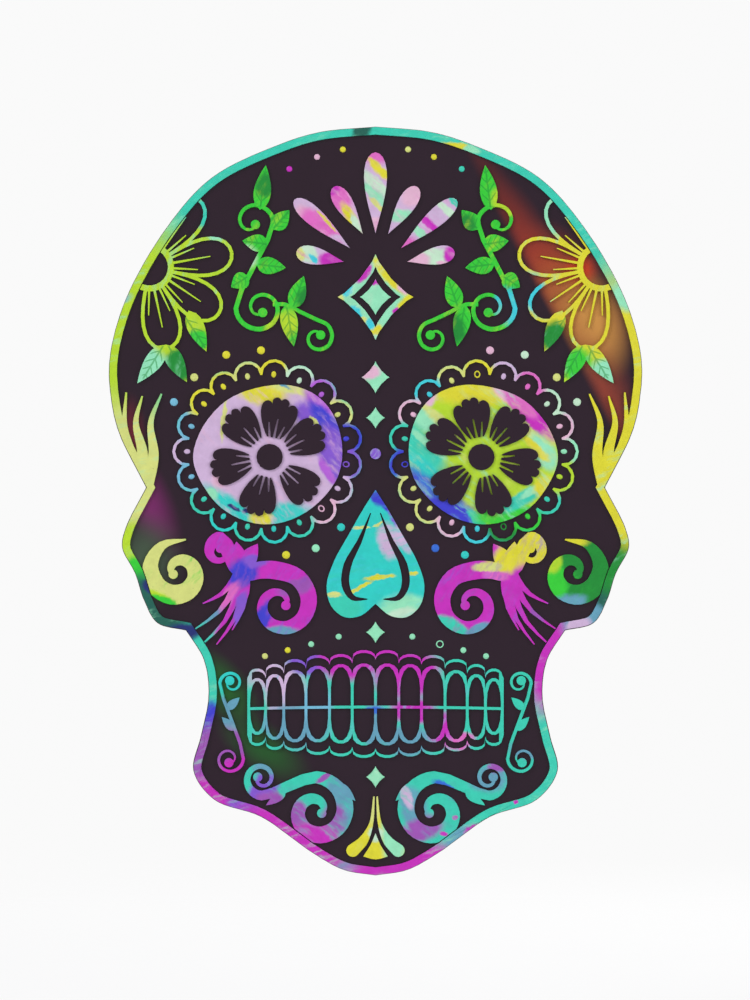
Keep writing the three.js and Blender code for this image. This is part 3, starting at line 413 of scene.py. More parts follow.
# %% Drops, lozenge and diamonds
drop_ink = ink("drop ink", lilac, [
    (pink, -0.14, 0.905, 7, 5, -60),
    (magenta, -0.16, 0.915, 3, 2.5, 30),
    (yellow, -0.09, 0.875, 7, 2.5, -60),
    (pale_mint, -0.07, 0.87, 4, 1.6, -60),
    (pale_pink, -0.27, 0.88, 5, 4, -40),
    (pink, -0.21, 0.868, 9, 4, -42),
    (yellow, -0.177, 0.871, 6, 0.6, -50),
    (pink, -0.145, 0.85, 3, 2, -60),
    (lilac, -0.15, 0.845, 4, 3),
    (magenta, -0.16, 0.823, 6, 3),
    (pale_mint, -0.25, 0.831, 3.4, 4),
    (cream, -0.283, 0.829, 2.2, 3),
    (aqua, -0.235, 0.824, 1.2, 2, 30),
    (pink, 0.0, 0.965, 6, 5),
    (yellow, 0.02, 0.94, 7, 1.6, -42),
    (pale_mint, 0.0, 0.922, 7, 2.6, -42),
    (mint, 0.0, 0.907, 7, 1.8, -42),
    (cream, 0.01, 0.893, 5, 1, -42),
    (pale_pink, 0.0, 0.87, 5, 3),
    (mint, 0.1, 0.88, 5, 3),
    (pale_pink, 0.14, 0.91, 5, 4, 50),
    (teal, 0.3, 0.9, 4, 2, -42),
    (pale_mint, 0.27, 0.885, 7, 1.6, -42),
    (magenta, 0.2, 0.872, 6, 1.4, -42),
    (mint, 0.16, 0.86, 6, 2, -42),
    (pink, 0.11, 0.843, 4, 3),
    (pale_mint, 0.22, 0.827, 6, 4),
    (pale_pink, 0.16, 0.822, 5, 3),
    (magenta, 0.285, 0.83, 3.2, 4),
    (pale_pink, 0.25, 0.82, 2, 0.8),
], streaks=[pale_pink, pink], lean=-42, speck=magenta)
dress(drop_ink, *[name for name in nodes if name.startswith("brow_drop")])

diamond_ink = ink("diamond ink", mint, [
    (magenta, -0.045, 0.803, 4.4, 2, 50),
    (aqua, -0.1, 0.782, 2.4, 1.8, 45),
    (cream, -0.135, 0.773, 1.8, 1.8),
    (yellow, 0.055, 0.801, 10, 3, -48),
    (pale_pink, 0.105, 0.785, 3, 2.4, -45),
    (yellow, 0.115, 0.765, 5, 2.4, 42),
    (magenta, 0.075, 0.75, 1.8, 1.8, 40),
    (yellow, 0.005, 0.727, 2.6, 2),
    (aqua, -0.075, 0.752, 3.4, 1.6, -45),
    (cream, -0.045, 0.742, 1.8, 1.2, -50),
    (aqua, -0.02, 0.735, 2.4, 1.4, -50),
    (mint, 0.0, 0.77, 6, 6),
    (magenta, 0.0, 0.79, 2, 1.6),
    (pale_pink, -0.02, 0.67, 4, 3, 20),
    (violet, 0.0, 0.563, 6, 6),
], streaks=[pale_mint], lean=40)
dress(diamond_ink, "brow_lozenge_frame", "brow_lozenge_core", "bridge_diamond_upper", "bridge_diamond_lower",
      "bridge_bead", "philtrum_diamond", "chin_diamond")

# %% [markdown]
# The eyes carry the largest pools. The left disc is pale lilac with yellow at its top, violet and indigo
# strokes at its right and teal at its foot. The right disc is lime with teal, blue, green and magenta.

# %% Eye discs
left_eye_ink = ink("left eye ink", lilac, [
    (pale_pink, -0.58, 0.54, 8, 3, 80),
    (cream, -0.566, 0.608, 8, 1, 84),
    (yellow, -0.42, 0.642, 10, 4.6, -8),
    (cream, -0.33, 0.652, 7, 3, -10),
    (slate, -0.345, 0.653, 4, 0.9, -28),
    (cream, -0.27, 0.648, 7, 2.6, -25),
    (orchid, -0.2, 0.635, 8, 5, -40),
    (violet, -0.245, 0.615, 7, 5, -20),
    (indigo, -0.17, 0.6, 12, 3.6, -52),
    (violet, -0.155, 0.56, 12, 6, -75),
    (cream, -0.232, 0.607, 2.6, 0.9, -48),
    (orchid, -0.185, 0.54, 6, 1.8, -60),
    (lilac, -0.2, 0.49, 10, 7),
    (sea, -0.55, 0.49, 14, 5, -35),
    (sea, -0.35, 0.478, 12, 6, 8),
    (yellow, -0.43, 0.477, 4.5, 4),
    (navy, -0.53, 0.492, 3, 0.9, -30),
    (navy, -0.48, 0.487, 2, 1.2),
    (mint, -0.62, 0.51, 3.4, 2.4),
], streaks=[pale_pink, lilac], lean=-48, speck=indigo)
dress(left_eye_ink, "eye_disc_left")

right_eye_ink = ink("right eye ink", lime, [
    (yellow, 0.38, 0.65, 20, 7),
    (pale_pink, 0.19, 0.634, 5, 3, 40),
    (cream, 0.22, 0.61, 11, 2.6, -40),
    (mint, 0.165, 0.61, 9, 3.4, -40),
    (teal, 0.15, 0.575, 16, 6, -45),
    (mint, 0.2, 0.575, 9, 1.6, -42),
    (sea, 0.19, 0.535, 12, 4, -42),
    (indigo, 0.255, 0.497, 20, 5.4, -38),
    (blue, 0.2, 0.52, 6, 2, -42),
    (pale_mint, 0.232, 0.488, 4, 0.8, -42),
    (teal, 0.38, 0.475, 5, 2, -42),
    (leaf_green, 0.475, 0.482, 11, 4.6, 8),
    (teal, 0.55, 0.502, 9, 3, 30),
    (mint, 0.585, 0.512, 5, 1.6, 30),
    (yellow, 0.635, 0.518, 5, 5),
    (leaf_green, 0.55, 0.482, 4, 1.6, 30),
    (pale_pink, 0.5, 0.645, 7, 4, -30),
    (magenta, 0.6, 0.612, 14, 4.6, -42),
    (pink, 0.545, 0.63, 8, 3.2, -42),
    (cream, 0.56, 0.598, 11, 1.8, -42),
    (mint, 0.63, 0.565, 8, 4, -60),
    (yellow, 0.6, 0.57, 7, 1.6, -42),
], streaks=[cream, mint], lean=-42, speck=bottle)
dress(right_eye_ink, "eye_disc_right")

# %% [markdown]
# The scalloped lines and the beads in them share one ink, whose colour changes from scallop to scallop. So
# its pools aren't placed one by one: a list names the colour of each scallop, from the outer side of the
# eye over its top. The same function that finds the scallops will place the beads later.

# %% Eye rings
scallops = 19
scallop_radius = 5.9 * MM
ring_low, ring_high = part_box("eye_ring_right")
ring_middle = (ring_low + ring_high) / 2
bead_across = (ring_high.x - ring_low.x) / 2 - scallop_radius
bead_up = (ring_high.z - ring_low.z) / 2 - scallop_radius


def scallop_spots(side):
    """The middle and turn of each scallop, from the eye's outer side over its top. Side is -1 or 1."""
    for rank in range(scallops):
        turn = 2 * math.pi * rank / scallops
        x = ring_middle.x + bead_across * math.cos(turn)
        z = ring_middle.z + bead_up * math.sin(turn)
        yield side * x, z, turn if side > 0 else math.pi - turn


scallop_colours = {
    -1: [lilac, sky, yellow, yellow, cream, yellow, pale_mint, orchid, cream, indigo, violet, lilac,
         pale_pink, teal, sea, teal, sea, teal, sky],
    1: [mint, pale_pink, pale_mint, pink, lilac, yellow, cream, aqua, pale_pink, teal, indigo, cream,
        cream, pale_pink, aqua, deep_green, leaf_green, teal, lime],
}
scallop_pool = 6.8
ring_pools = []
for side, colours in scallop_colours.items():
    for colour, (x, z, turn) in zip(colours, scallop_spots(side)):
        across, up = x / half_width, (z - board_low.z) / skull_height
        ring_pools.append((colour, across, up, scallop_pool, scallop_pool))
ring_ink = ink("eye ring ink", teal, ring_pools, speck=violet)
dress(ring_ink, "eye_ring_left", "eye_ring_right")

# %% [markdown]
# The nose is teal with an indigo point, lilac at its upper right, thin yellow strokes across it and a
# pale mint lobe at its lower right.

# %% Nose
nose_ink = ink("nose ink", sea, [
    (indigo, 0.005, 0.512, 5.5, 3, -75),
    (indigo, 0.036, 0.496, 4.4, 2, -60),
    (violet, 0.07, 0.478, 4.6, 2.2, -60),
    (lilac, 0.105, 0.45, 6, 2.6, -60),
    (lilac, 0.048, 0.446, 7, 4, -75),
    (cream, -0.05, 0.464, 3.6, 0.6, 4),
    (cream, 0.012, 0.469, 2, 0.6, 20),
    (teal, -0.12, 0.36, 8, 5),
    (yellow, 0.01, 0.397, 6, 1.1, 4),
    (yellow, -0.065, 0.385, 5, 0.8, 24),
    (cream, -0.155, 0.376, 3, 1),
    (yellow, 0.143, 0.404, 2, 0.6),
    (mint, 0.11, 0.355, 10, 6.4, 4),
    (pale_mint, 0.1, 0.347, 6, 3, 10),
], streaks=[aqua, teal], lean=12, speck=blue)
dress(nose_ink, "nose_heart")

# %% [markdown]
# The cheeks differ most from side to side. On the left the outer curl is a pale yellow green and the
# scroll magenta with indigo. On the right the outer curl is leaf green and the scroll's stem is yellow.

# %% Cheeks
moon_ink = ink("cheek curl ink", deep_green, [
    (cream, -0.8, 0.41, 30, 30),
    (lime, -0.83, 0.37, 8, 3, -20),
    (leaf_green, -0.8, 0.365, 6, 2.4, -10),
    (leaf_green, 0.67, 0.39, 5, 9),
    (yellow, 0.71, 0.448, 9, 3),
    (lime, 0.66, 0.42, 4, 5),
    (slate, 0.71, 0.362, 8, 4, 10),
], streaks=[leaf_green], lean=50, speck=bottle)
dress(moon_ink, "cheek_moon_left", "cheek_moon_right")

cheek_ink = ink("cheek ink", magenta, [
    (indigo, -0.5, 0.405, 7, 5, 30),
    (violet, -0.45, 0.42, 5, 2.4),
    (indigo, -0.42, 0.345, 8, 3, 60),
    (slate, -0.36, 0.322, 9, 3),
    (mauve, -0.3, 0.385, 7, 3, 20),
    (pink, -0.55, 0.37, 8, 2.6, 65),
    (violet, -0.5, 0.355, 8, 2.4, 80),
    (slate, -0.63, 0.335, 8, 4, 60),
    (teal, -0.66, 0.31, 9, 6, 70),
    (yellow, 0.57, 0.44, 11, 8),
    (yellow, 0.48, 0.42, 7, 5, 20),
    (pink, 0.45, 0.4, 5, 2),
    (cream, 0.42, 0.412, 6, 2),
    (teal, 0.3, 0.33, 10, 3, -30),
    (slate, 0.38, 0.328, 6, 2, 20),
    (mauve, 0.6, 0.345, 5, 2, -60),
], streaks=[mauve, violet], lean=60, speck=indigo)
dress(cheek_ink, "cheek_scroll_left", "cheek_scroll_right")

# %% [markdown]
# Below the nose the ink turns cool. The teeth's lines run from lilac through magenta to teal, the left jaw
# vine is mauve at its foot, and the chin scrolls are teal with mauve and magenta pools. The three small
# drops on the chin are yellow and mint.

# %% Teeth, jaw and chin
teeth_ink = ink("teeth ink", teal, [
    (lilac, -0.38, 0.25, 12, 12, 10),
    (teal, -0.46, 0.22, 6, 12),
    (violet, -0.25, 0.285, 9, 5),
    (slate, -0.3, 0.2, 14, 9),
    (sky, -0.22, 0.23, 6, 9),
    (magenta, -0.1, 0.29, 12, 9),
    (teal, -0.08, 0.2, 9, 9),
    (slate, 0.0, 0.2, 5, 9),
    (blue, 0.01, 0.219, 7, 1.2),
    (magenta, 0.12, 0.27, 14, 10),
    (magenta, 0.02, 0.302, 9, 3),
    (magenta, 0.14, 0.22, 9, 5),
    (slate, 0.12, 0.18, 10, 6),
    (magenta, 0.26, 0.195, 7, 6, 60),
    (pink, 0.32, 0.18, 6, 3, 20),
    (teal, 0.36, 0.26, 14, 9),
], streaks=[sky], lean=70)
dress(teeth_ink, "teeth_frame")

jaw_ink = ink("jaw ink", teal, [
    (sea, -0.52, 0.27, 10, 8),
    (slate, -0.55, 0.22, 8, 6),
    (mauve, -0.55, 0.17, 12, 9),
    (magenta, -0.5, 0.14, 10, 6),
    (mauve, 0.52, 0.29, 6, 3),
    (slate, 0.58, 0.17, 8, 4),
])
dress(jaw_ink, "jaw_vine_left", "jaw_vine_right")

chin_ink = ink("chin ink", teal, [
    (slate, -0.13, 0.1, 6, 12),
    (mauve, -0.16, 0.075, 5, 6),
    (magenta, -0.24, 0.06, 12, 5, -20),
    (mauve, -0.29, 0.085, 5, 5),
    (mauve, -0.19, 0.132, 4, 1.2, 30),
    (violet, -0.42, 0.115, 10, 5, 60),
    (mauve, -0.39, 0.1, 6, 4),
    (slate, -0.4, 0.145, 6, 4),
    (blue, 0.26, 0.118, 5, 1.6, -30),
    (slate, 0.14, 0.09, 5, 9, 20),
    (mauve, 0.17, 0.062, 9, 5, 20),
    (lilac, 0.115, 0.105, 2, 5, 20),
    (magenta, 0.26, 0.058, 1.6, 1),
    (magenta, 0.3, 0.078, 1.1, 0.7),
    (slate, 0.42, 0.13, 8, 5),
    (mauve, 0.46, 0.148, 4, 3),
], streaks=[slate, teal], lean=-40, speck=magenta)
dress(chin_ink, "chin_scroll_left", "chin_scroll_right")

chin_drop_ink = ink("chin drop ink", yellow, [
    (mint, 0.07, 0.06, 5, 14),
    (pale_mint, 0.0, 0.058, 3, 3),
    (cream, -0.01, 0.1, 3, 9),
], streaks=[cream], lean=70, speck=deep_green)
dress(chin_drop_ink, "chin_drop_left", "chin_drop_middle", "chin_drop_right")

# %% [markdown]
# ## The face panel
# The panel is gloss aubergine black. Over it lies a painted sheen, soft coloured reflections laid into its
# base colour: amber at the right temple, where the sheen ends sharply on its left, purple and green at the
# left cheek, and dull green at the left jaw. Each patch of painted sheen is an ellipse with a very wide
# border.

# %% Panel, petals and flower centres
aubergine = rgb(33, 17, 30)
# Painted sheen: each patch is a reflection colour, its place on the face, its half length and half width in
# millimetres and, if it has one, its turn in degrees.
painted_sheen_patches = [
    ((76, 26, 30), 0.475, 0.89, 34, 5, -62),
    ((122, 42, 34), 0.585, 0.83, 22, 6.6, -62),
    ((146, 54, 34), 0.68, 0.8, 14, 9, -62),
    ((154, 92, 48), 0.74, 0.745, 14, 17, 20),
    ((186, 132, 66), 0.82, 0.735, 8, 14, 20),
    ((132, 56, 42), 0.85, 0.62, 9, 22, 15),
    ((190, 56, 26), 0.77, 0.81, 4.4, 5, -60),
    ((46, 22, 30), 0.9, 0.815, 13, 7, -56),
    ((104, 32, 88), -0.855, 0.5, 6, 15, 24),
    ((60, 76, 60), -0.86, 0.42, 9, 12),
    ((28, 82, 32), -0.57, 0.25, 6, 12, 40),
    ((28, 74, 32), -0.42, 0.17, 6, 13, 55),
    ((108, 32, 50), -0.92, 0.58, 4, 11),
]
sheen_patch_border = 0.92
# The painted sheen on the right of the face is cut off along this slanted line.
sheen_edge = (0.366, 0.951)
sheen_edge_turn = -62


def gloss_panel(name, lit):
    """Gloss aubergine black, with or without the painted sheen, and the faint haze that handling leaves."""
    finish = Finish(name)
    place = finish.place()
    colour = aubergine
    # With lit set, the painted sheen is mixed into the base colour patch by patch, and on the right it stops
    # sharply at the slanted line.
    if lit:
        x, z = on_face(*sheen_edge)
        aside = finish.part(finish.turned(place, (x, 0, z), sheen_edge_turn, (1, 1, 1)), "Z")
        for sheen_colour, *ellipse in painted_sheen_patches:
            mask = finish.patch(place, sheen_patch_border, *ellipse)
            if ellipse[0] > 0:
                mask = mask * finish.step(aside, -2 * MM, 4 * MM)
            colour = finish.mix(mask, colour, rgb(*sheen_colour))
    haze = finish.noise(place, 45.0, 4.0)
    lint = finish.step(finish.noise(place, 2200.0, 1.0), 0.72, 0.78)
    colour = finish.dim(colour, 0.9 + 0.2 * haze)
    return finish.surface(
        colour, 0.24 + 0.16 * haze + 0.1 * lint, finish.noise(place, 500.0, 2.0), 0.012 * MM,
        specular=0.16, coat=0.08, coat_roughness=0.12,
    )


dress(gloss_panel("face panel gloss", True), "face_panel")
petals = [name for name in nodes if name.startswith(("eye_petal", "eye_centre"))]
dress(gloss_panel("petal gloss", False), *petals)
print("panel and", len(petals), "petals and centres")

# %% [markdown]
# ## The board
# Fibreboard is pressed from short fibres. Stained black it stays matt, with brown fibres showing where
# the stain is thin, and its sawn edge is a little furry. Fibres are a noise stretched one way and then
# another, so that they cross.

# %% Board
def fibreboard():
    finish = Finish("stained fibreboard")
    place = finish.place()
    loose = finish.ragged(place, 120.0, 3 * MM)
    strands = None
    for turn in (20, 75, -40):
        along = finish.turned(loose, (0, 0, 0), turn, (2.4 * MM, 0.6 * MM, 0.22 * MM))
        laid = finish.step(finish.noise(along, 1.0, 3.0, 0.6), 0.56, 0.7)
        strands = laid if strands is None else strands + laid * 0.8
    worn = finish.step(finish.noise(place, 24.0, 5.0, 0.6), 0.4, 0.7)
    dark = rgb(26, 22, 23)
    brown = rgb(92, 66, 46)
    colour = finish.mix(strands * (0.18 + 0.4 * worn), dark, brown)
    dust = finish.step(finish.noise(place, 1300.0, 2.0), 0.62, 0.75)
    colour = finish.mix(dust * 0.18, colour, rgb(150, 136, 120))
    return finish.surface(colour, 0.72 + 0.14 * worn, strands, 0.08 * MM, specular=0.3)


dress(fibreboard(), "back_board")
print("board")

# %% [markdown]
# ## Eased edges
# No sawn or cut edge is perfectly sharp, and a fine bevel catches the light along each piece. The nodes
# come in as loose triangles, so a Weld modifier joins them before the Bevel rounds what is sharper than
# the bevel's angle. Both stay live modifiers, and the node's own mesh is left as it is. The teeth,
# cheek scrolls and temple flowers keep their cut edges, because a bevel would fold over itself in their
# sharp cusps.

# %% Ease the edges of the CAD pieces
fine_edge = 0.08 * MM
cut_edge = 0.14 * MM
sawn_edge = 0.3 * MM
join_reach = 0.05 * MM


def round_edges(piece, title, width, segments=2, angle=50):
    """Adds a Bevel modifier for the edges that turn by more than the angle in degrees."""
    bevel = piece.modifiers.new(title, "BEVEL")
    bevel.width = width
    bevel.segments = segments
    bevel.limit_method = "ANGLE"
    bevel.angle_limit = math.radians(angle)
    return bevel


def ease(name, width, segments=2):
    """Rounds a CAD piece's sharp edges by live modifiers."""
    piece = nodes[name]
    weld = piece.modifiers.new("join the triangles", "WELD")
    weld.merge_threshold = join_reach
    bevel = round_edges(piece, "ease the edges", width, segments)
    bevel.use_clamp_overlap = False
    even = piece.modifiers.new("even the shading", "WEIGHTED_NORMAL")
    even.weight = 100


cusped = ("teeth_frame", "cheek_scroll", "temple_flower")
thick = ("hanger", "wall_pad", "back_board", "face_panel")
thin_pieces = [name for name in nodes if not name.startswith(cusped + thick)]
for name in thin_pieces:
    ease(name, fine_edge if name.startswith("eye_ring") else cut_edge)
for name in ("back_board", "face_panel"):
    ease(name, sawn_edge, 3)
print(len(thin_pieces) + 2, "pieces eased")

# %% [markdown]
# ## Handling new pieces
# An operator acts on what is selected, and one that adds a shape leaves only that shape selected. These
# helpers select a piece, settle it, copy it and lay it down with its name, finish and body.

# %% Helpers for new pieces
def settle():
    """Puts the place, turn and size of the selected objects into their meshes."""
    bpy.ops.object.transform_apply(location=True, rotation=True, scale=True)


def face_out():
    """Turns the faces of the piece in edit mode outwards and leaves edit mode."""
    bpy.ops.mesh.select_all(action="SELECT")
    bpy.ops.mesh.normals_make_consistent(inside=False)
    bpy.ops.object.mode_set(mode="OBJECT")


def select_only(*pieces):
    """Selects these objects alone, the first as the active one."""
    bpy.ops.object.select_all(action="DESELECT")
    for piece in pieces:
        piece.select_set(True)
    bpy.context.view_layer.objects.active = pieces[0]


def smooth(piece, angle):
    """Shades a piece smooth, but for edges that turn by more than the angle in degrees."""
    select_only(piece)
    bpy.ops.object.shade_smooth_by_angle(angle=math.radians(angle))
    return piece


def copy_of(model):
    """A copy of an object, with a mesh of its own."""
    copy = model.copy()
    copy.data = model.data.copy()
    bpy.context.collection.objects.link(copy)
    return copy


def lay(piece, name, material):
    """Sets a new piece's name, finish, slot and body, with its place in its mesh."""
    select_only(piece)
    settle()
    piece.name = name
    piece.data.name = name
    piece.data.materials.clear()
    piece.data.materials.append(material)
    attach(piece, "plaque")
    return piece


def compare(piece, low, high):
    """Prints the sizes of a new piece and those of the CAD piece that it replaces."""
    print(piece.name, [round(value / MM, 1) for value in piece.dimensions],
          "mm, in CAD", [round(value / MM, 1) for value in high - low])


print("helpers ready")

# %% [markdown]
# ## Raised dots
# Dots of thick ink stand on the face as low domes: three beside the fan of drops on each side, seven
# about each eye, and four over each half of the teeth, one of them a hollow loop. A dome is cut from a
# sphere and flattened, and a loop is a torus that is half sunk in the face.

# %% Make the domes and loops
dot_height = 0.55 * MM
eye_dot_radius = 1.6 * MM
small_dot_radius = 1.2 * MM
bead_radius = 1.0 * MM
loop_radius = 1.3 * MM
loop_line = 0.26 * MM
foot_share = 0.2


def make_dome(radius):
    """A low dome of ink about the origin: its foot is open below the face and its top faces -Y."""
    bpy.ops.mesh.primitive_uv_sphere_add(segments=24, ring_count=12, radius=radius, location=(0, 0, 0))
    dome = bpy.context.object
    bpy.ops.object.mode_set(mode="EDIT")
    bpy.ops.mesh.select_all(action="SELECT")
    bpy.ops.transform.rotate(value=math.pi / 2, orient_axis="X", center_override=(0, 0, 0))
    bpy.ops.mesh.bisect(plane_co=(0, radius * foot_share, 0), plane_no=(0, 1, 0), clear_outer=True,
                        use_fill=True)
    bpy.ops.mesh.select_all(action="SELECT")
    bpy.ops.transform.resize(value=(1, dot_height / radius, 1), center_override=(0, 0, 0))
    face_out()
    return smooth(dome, 40)


def copies_of(model, spots, name, material, stretch=1.0):
    """Copies a model to spots on the face, each turned and stretched, and joins them as one piece."""
    made = []
    for x, z, turn in spots:
        copy = copy_of(model)
        copy.location = (x, panel_front, z)
        copy.rotation_euler = (0, -turn, 0)
        copy.scale = (stretch, 1, 1)
        made.append(copy)
    select_only(*made)
    settle()
    bpy.ops.object.join()
    return lay(made[0], name, material)


def make_loop(radius):
    """A thin ring of ink about the origin, half sunk in the face."""
    bpy.ops.mesh.primitive_torus_add(major_radius=radius, minor_radius=loop_line, major_segments=24,
                                     minor_segments=8, rotation=(math.pi / 2, 0, 0))
    loop = bpy.context.object
    settle()
    bpy.ops.object.shade_smooth()
    return loop


dot_dome = make_dome(eye_dot_radius)
small_dome = make_dome(small_dot_radius)
bead_dome = make_dome(bead_radius)
small_loop = make_loop(loop_radius)
bead_loop = make_loop(bead_radius)
print("three sizes of dome,", len(dot_dome.data.polygons), "faces each, and two of loop")

# %% [markdown]
# Each model is copied to every dot of its size, and the copies are joined into one piece. The dots' ink is
# mint, with a pool of another colour on most of them.

# %% Place the dots of the brow, eyes and teeth
brow_dot_places = [(0.122, 0.969), (0.219, 0.959), (0.323, 0.943)]
eye_dot_places = [(0.429, 0.701), (0.559, 0.695), (0.679, 0.665), (0.755, 0.632),
                  (0.129, 0.465), (0.224, 0.437), (0.335, 0.428)]
lip_dot_places = [(0.138, 0.319), (0.241, 0.309), (0.329, 0.301), (0.414, 0.293)]
dot_places = brow_dot_places + eye_dot_places + lip_dot_places
dot_colours = {
    -1: [yellow, pale_pink, magenta, yellow, yellow, cream, sky, sea, mint, yellow, mint, mint, yellow,
         cream],
    1: [cream, yellow, teal, pale_pink, pale_mint, cream, pale_mint, cream, blue, sea, mint, mint, mint,
        mint],
}
dot_pool = 4.5
dot_ink = ink("dot ink", mint, [
    (colour, side * across, up, dot_pool, dot_pool)
    for side, colours in dot_colours.items() for colour, (across, up) in zip(colours, dot_places)
    if colour != mint
])


def mirrored_spots(places):
    """The places on both sides of the middle line, without a turn."""
    return [(side * x, z, 0.0) for side in (-1, 1) for x, z in (on_face(*place) for place in places)]


copies_of(small_dome, mirrored_spots(brow_dot_places), "brow_dots", dot_ink)
copies_of(dot_dome, mirrored_spots(eye_dot_places), "eye_dots", dot_ink)
lip_spots = mirrored_spots(lip_dot_places)
hollow_lip_spot = lip_spots.pop(len(lip_dot_places) + 1)
copies_of(small_dome, lip_spots, "lip_dots", dot_ink)
copies_of(small_loop, [hollow_lip_spot], "lip_loop", dot_ink)
print("dots:", 2 * len(dot_places))

# %% [markdown]
# Inside each scallop of an eye ring sits one bead, a little longer towards the eye than across. A few of
# them are drawn as hollow loops.

# %% Beads in the scallops
hollow_beads = {"left": (10, 12), "right": (5, 10, 15)}
bead_stretch = 1.3
loop_stretch = 1.2
for side, word in ((-1, "left"), (1, "right")):
    spots = list(scallop_spots(side))
    hollow = [spots[rank] for rank in hollow_beads[word]]
    filled = [spot for spot in spots if spot not in hollow]
    copies_of(bead_dome, filled, f"eye_beads_{word}", ring_ink, bead_stretch)
    copies_of(bead_loop, hollow, f"eye_loops_{word}", ring_ink, loop_stretch)
for model in (dot_dome, small_dome, bead_dome, small_loop, bead_loop):
    bpy.data.objects.remove(model)
print("beads:", 2 * scallops)

# %% [markdown]
# ## Hanger and pads
# The wire ring, its folded strap, the screw and the rubber pads are small, round things, so they are
# modelled again in full. The metal is nickel, brushed one way and a little stained, and the rubber is
# black with a pale bloom.

# %% Metal and rubber
def brushed_nickel(name, turn):
    finish = Finish(name)
    place = finish.place()
    lines = finish.turned(place, (0, 0, 0), turn, (4 * MM, 0.12 * MM, 0.12 * MM))
    brushed = finish.noise(lines, 1.0, 3.0, 0.6)
    stained = finish.step(finish.noise(place, 160.0, 4.0), 0.5, 0.75)
    colour = finish.mix(stained * 0.35, rgb(201, 200, 198), rgb(150, 146, 140))
    return finish.surface(colour, 0.22 + 0.16 * brushed + 0.12 * stained, brushed, 0.01 * MM, metallic=1.0)


def soft_rubber():
    finish = Finish("pad rubber")
    place = finish.place()
    grain = finish.noise(place, 1800.0, 3.0)
    bloom = finish.noise(place, 180.0, 4.0)
    colour = finish.mix(finish.step(bloom, 0.5, 0.7) * 0.4, rgb(43, 43, 44), rgb(74, 72, 70))
    return finish.surface(colour, 0.72 + 0.18 * grain, grain, 0.03 * MM, specular=0.35)


nickel = brushed_nickel("hanger nickel", 0)
rubber = soft_rubber()
print("metal and rubber")

# %% [markdown]
# The ring is one bent wire. A circle is extruded along half of the bar, spun round the corner, extruded down
# the side and spun round to the foot, and a Mirror modifier makes the other half. The spin operator turns
# clockwise for an eye that its axis points at.

# %% The bent wire ring
ring_box_low, ring_box_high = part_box("hanger_ring")
wire = (ring_box_high.y - ring_box_low.y) / 2
hinge_y = (ring_box_low.y + ring_box_high.y) / 2
hinge_z = ring_box_high.z - wire
ring_half = ring_box_high.x - wire
bend_radius = 2.5 * MM
foot_depth = 9 * MM
side_run = ring_box_high.z - ring_box_low.z - 2 * wire - bend_radius - foot_depth
seam_reach = 0.01 * MM


def pick(piece, wanted, mode="EDGE"):
    """Opens a piece in edit mode with only its wanted corners selected, and what they span."""
    bpy.ops.object.mode_set(mode="OBJECT")
    mesh = piece.data
    for vertex in mesh.vertices:
        vertex.select = wanted(vertex.co)
    for shape in (*mesh.edges, *mesh.polygons):
        shape.select = all(mesh.vertices[corner].select for corner in shape.vertices)
    bpy.ops.object.mode_set(mode="EDIT")
    bpy.ops.mesh.select_mode(type=mode)


def bend_wire():
    """Half of the ring, from the middle of its bar round to the middle of its foot, then mirrored."""
    bpy.ops.mesh.primitive_circle_add(
        vertices=20, radius=wire, location=(0, hinge_y, hinge_z), rotation=(0, math.pi / 2, 0)
    )
    ring = bpy.context.object
    settle()
    bpy.ops.object.mode_set(mode="EDIT")
    bpy.ops.mesh.select_all(action="SELECT")
    bpy.ops.mesh.extrude_region_move(TRANSFORM_OT_translate={"value": (ring_half - bend_radius, 0, 0)})
    bpy.ops.mesh.spin(steps=8, angle=math.pi / 2, axis=(0, -1, 0),
                      center=(ring_half - bend_radius, hinge_y, hinge_z - bend_radius))
    bpy.ops.mesh.extrude_region_move(TRANSFORM_OT_translate={"value": (0, 0, -side_run)})
    foot = hinge_z - bend_radius - side_run
    bpy.ops.mesh.spin(steps=20, angle=math.pi / 2, center=(0, hinge_y, foot), axis=(0, -1, 0))
    pick(ring, lambda corner: corner.z < foot)
    bpy.ops.transform.resize(value=(1, 1, foot_depth / ring_half), center_override=(0, hinge_y, foot))
    bpy.ops.mesh.select_all(action="SELECT")
    bpy.ops.mesh.remove_doubles(threshold=seam_reach)
    bpy.ops.object.mode_set(mode="OBJECT")
    mirror = ring.modifiers.new("other half", "MIRROR")
    mirror.merge_threshold = join_reach
    bpy.ops.object.modifier_apply(modifier=mirror.name)
    bpy.ops.object.mode_set(mode="EDIT")
    face_out()
    bpy.ops.object.shade_smooth()
    return ring


ring = bend_wire()
lay(ring, "wire_ring", nickel)
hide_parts("hanger_ring")
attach(ring, "ring")
compare(ring, ring_box_low, ring_box_high)

# %% [markdown]
# The strap's sheet starts at the foot of the leaf that lies on the board, runs up to the wire, goes round
# it and comes down again on the first leaf. It is drawn as a strip without thickness along the middle of
# the sheet, and a Solidify modifier makes it a sheet.

# %% The folded strap
strap_low, strap_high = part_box("hanger_strap")
board_rear = board_high.y
strap_half = strap_high.x
sheet = 0.7 * MM
leaf_corner = 1.6 * MM
worn_edge = 0.12 * MM
near = 0.1 * MM
fold_radius = strap_high.y - hinge_y - sheet / 2


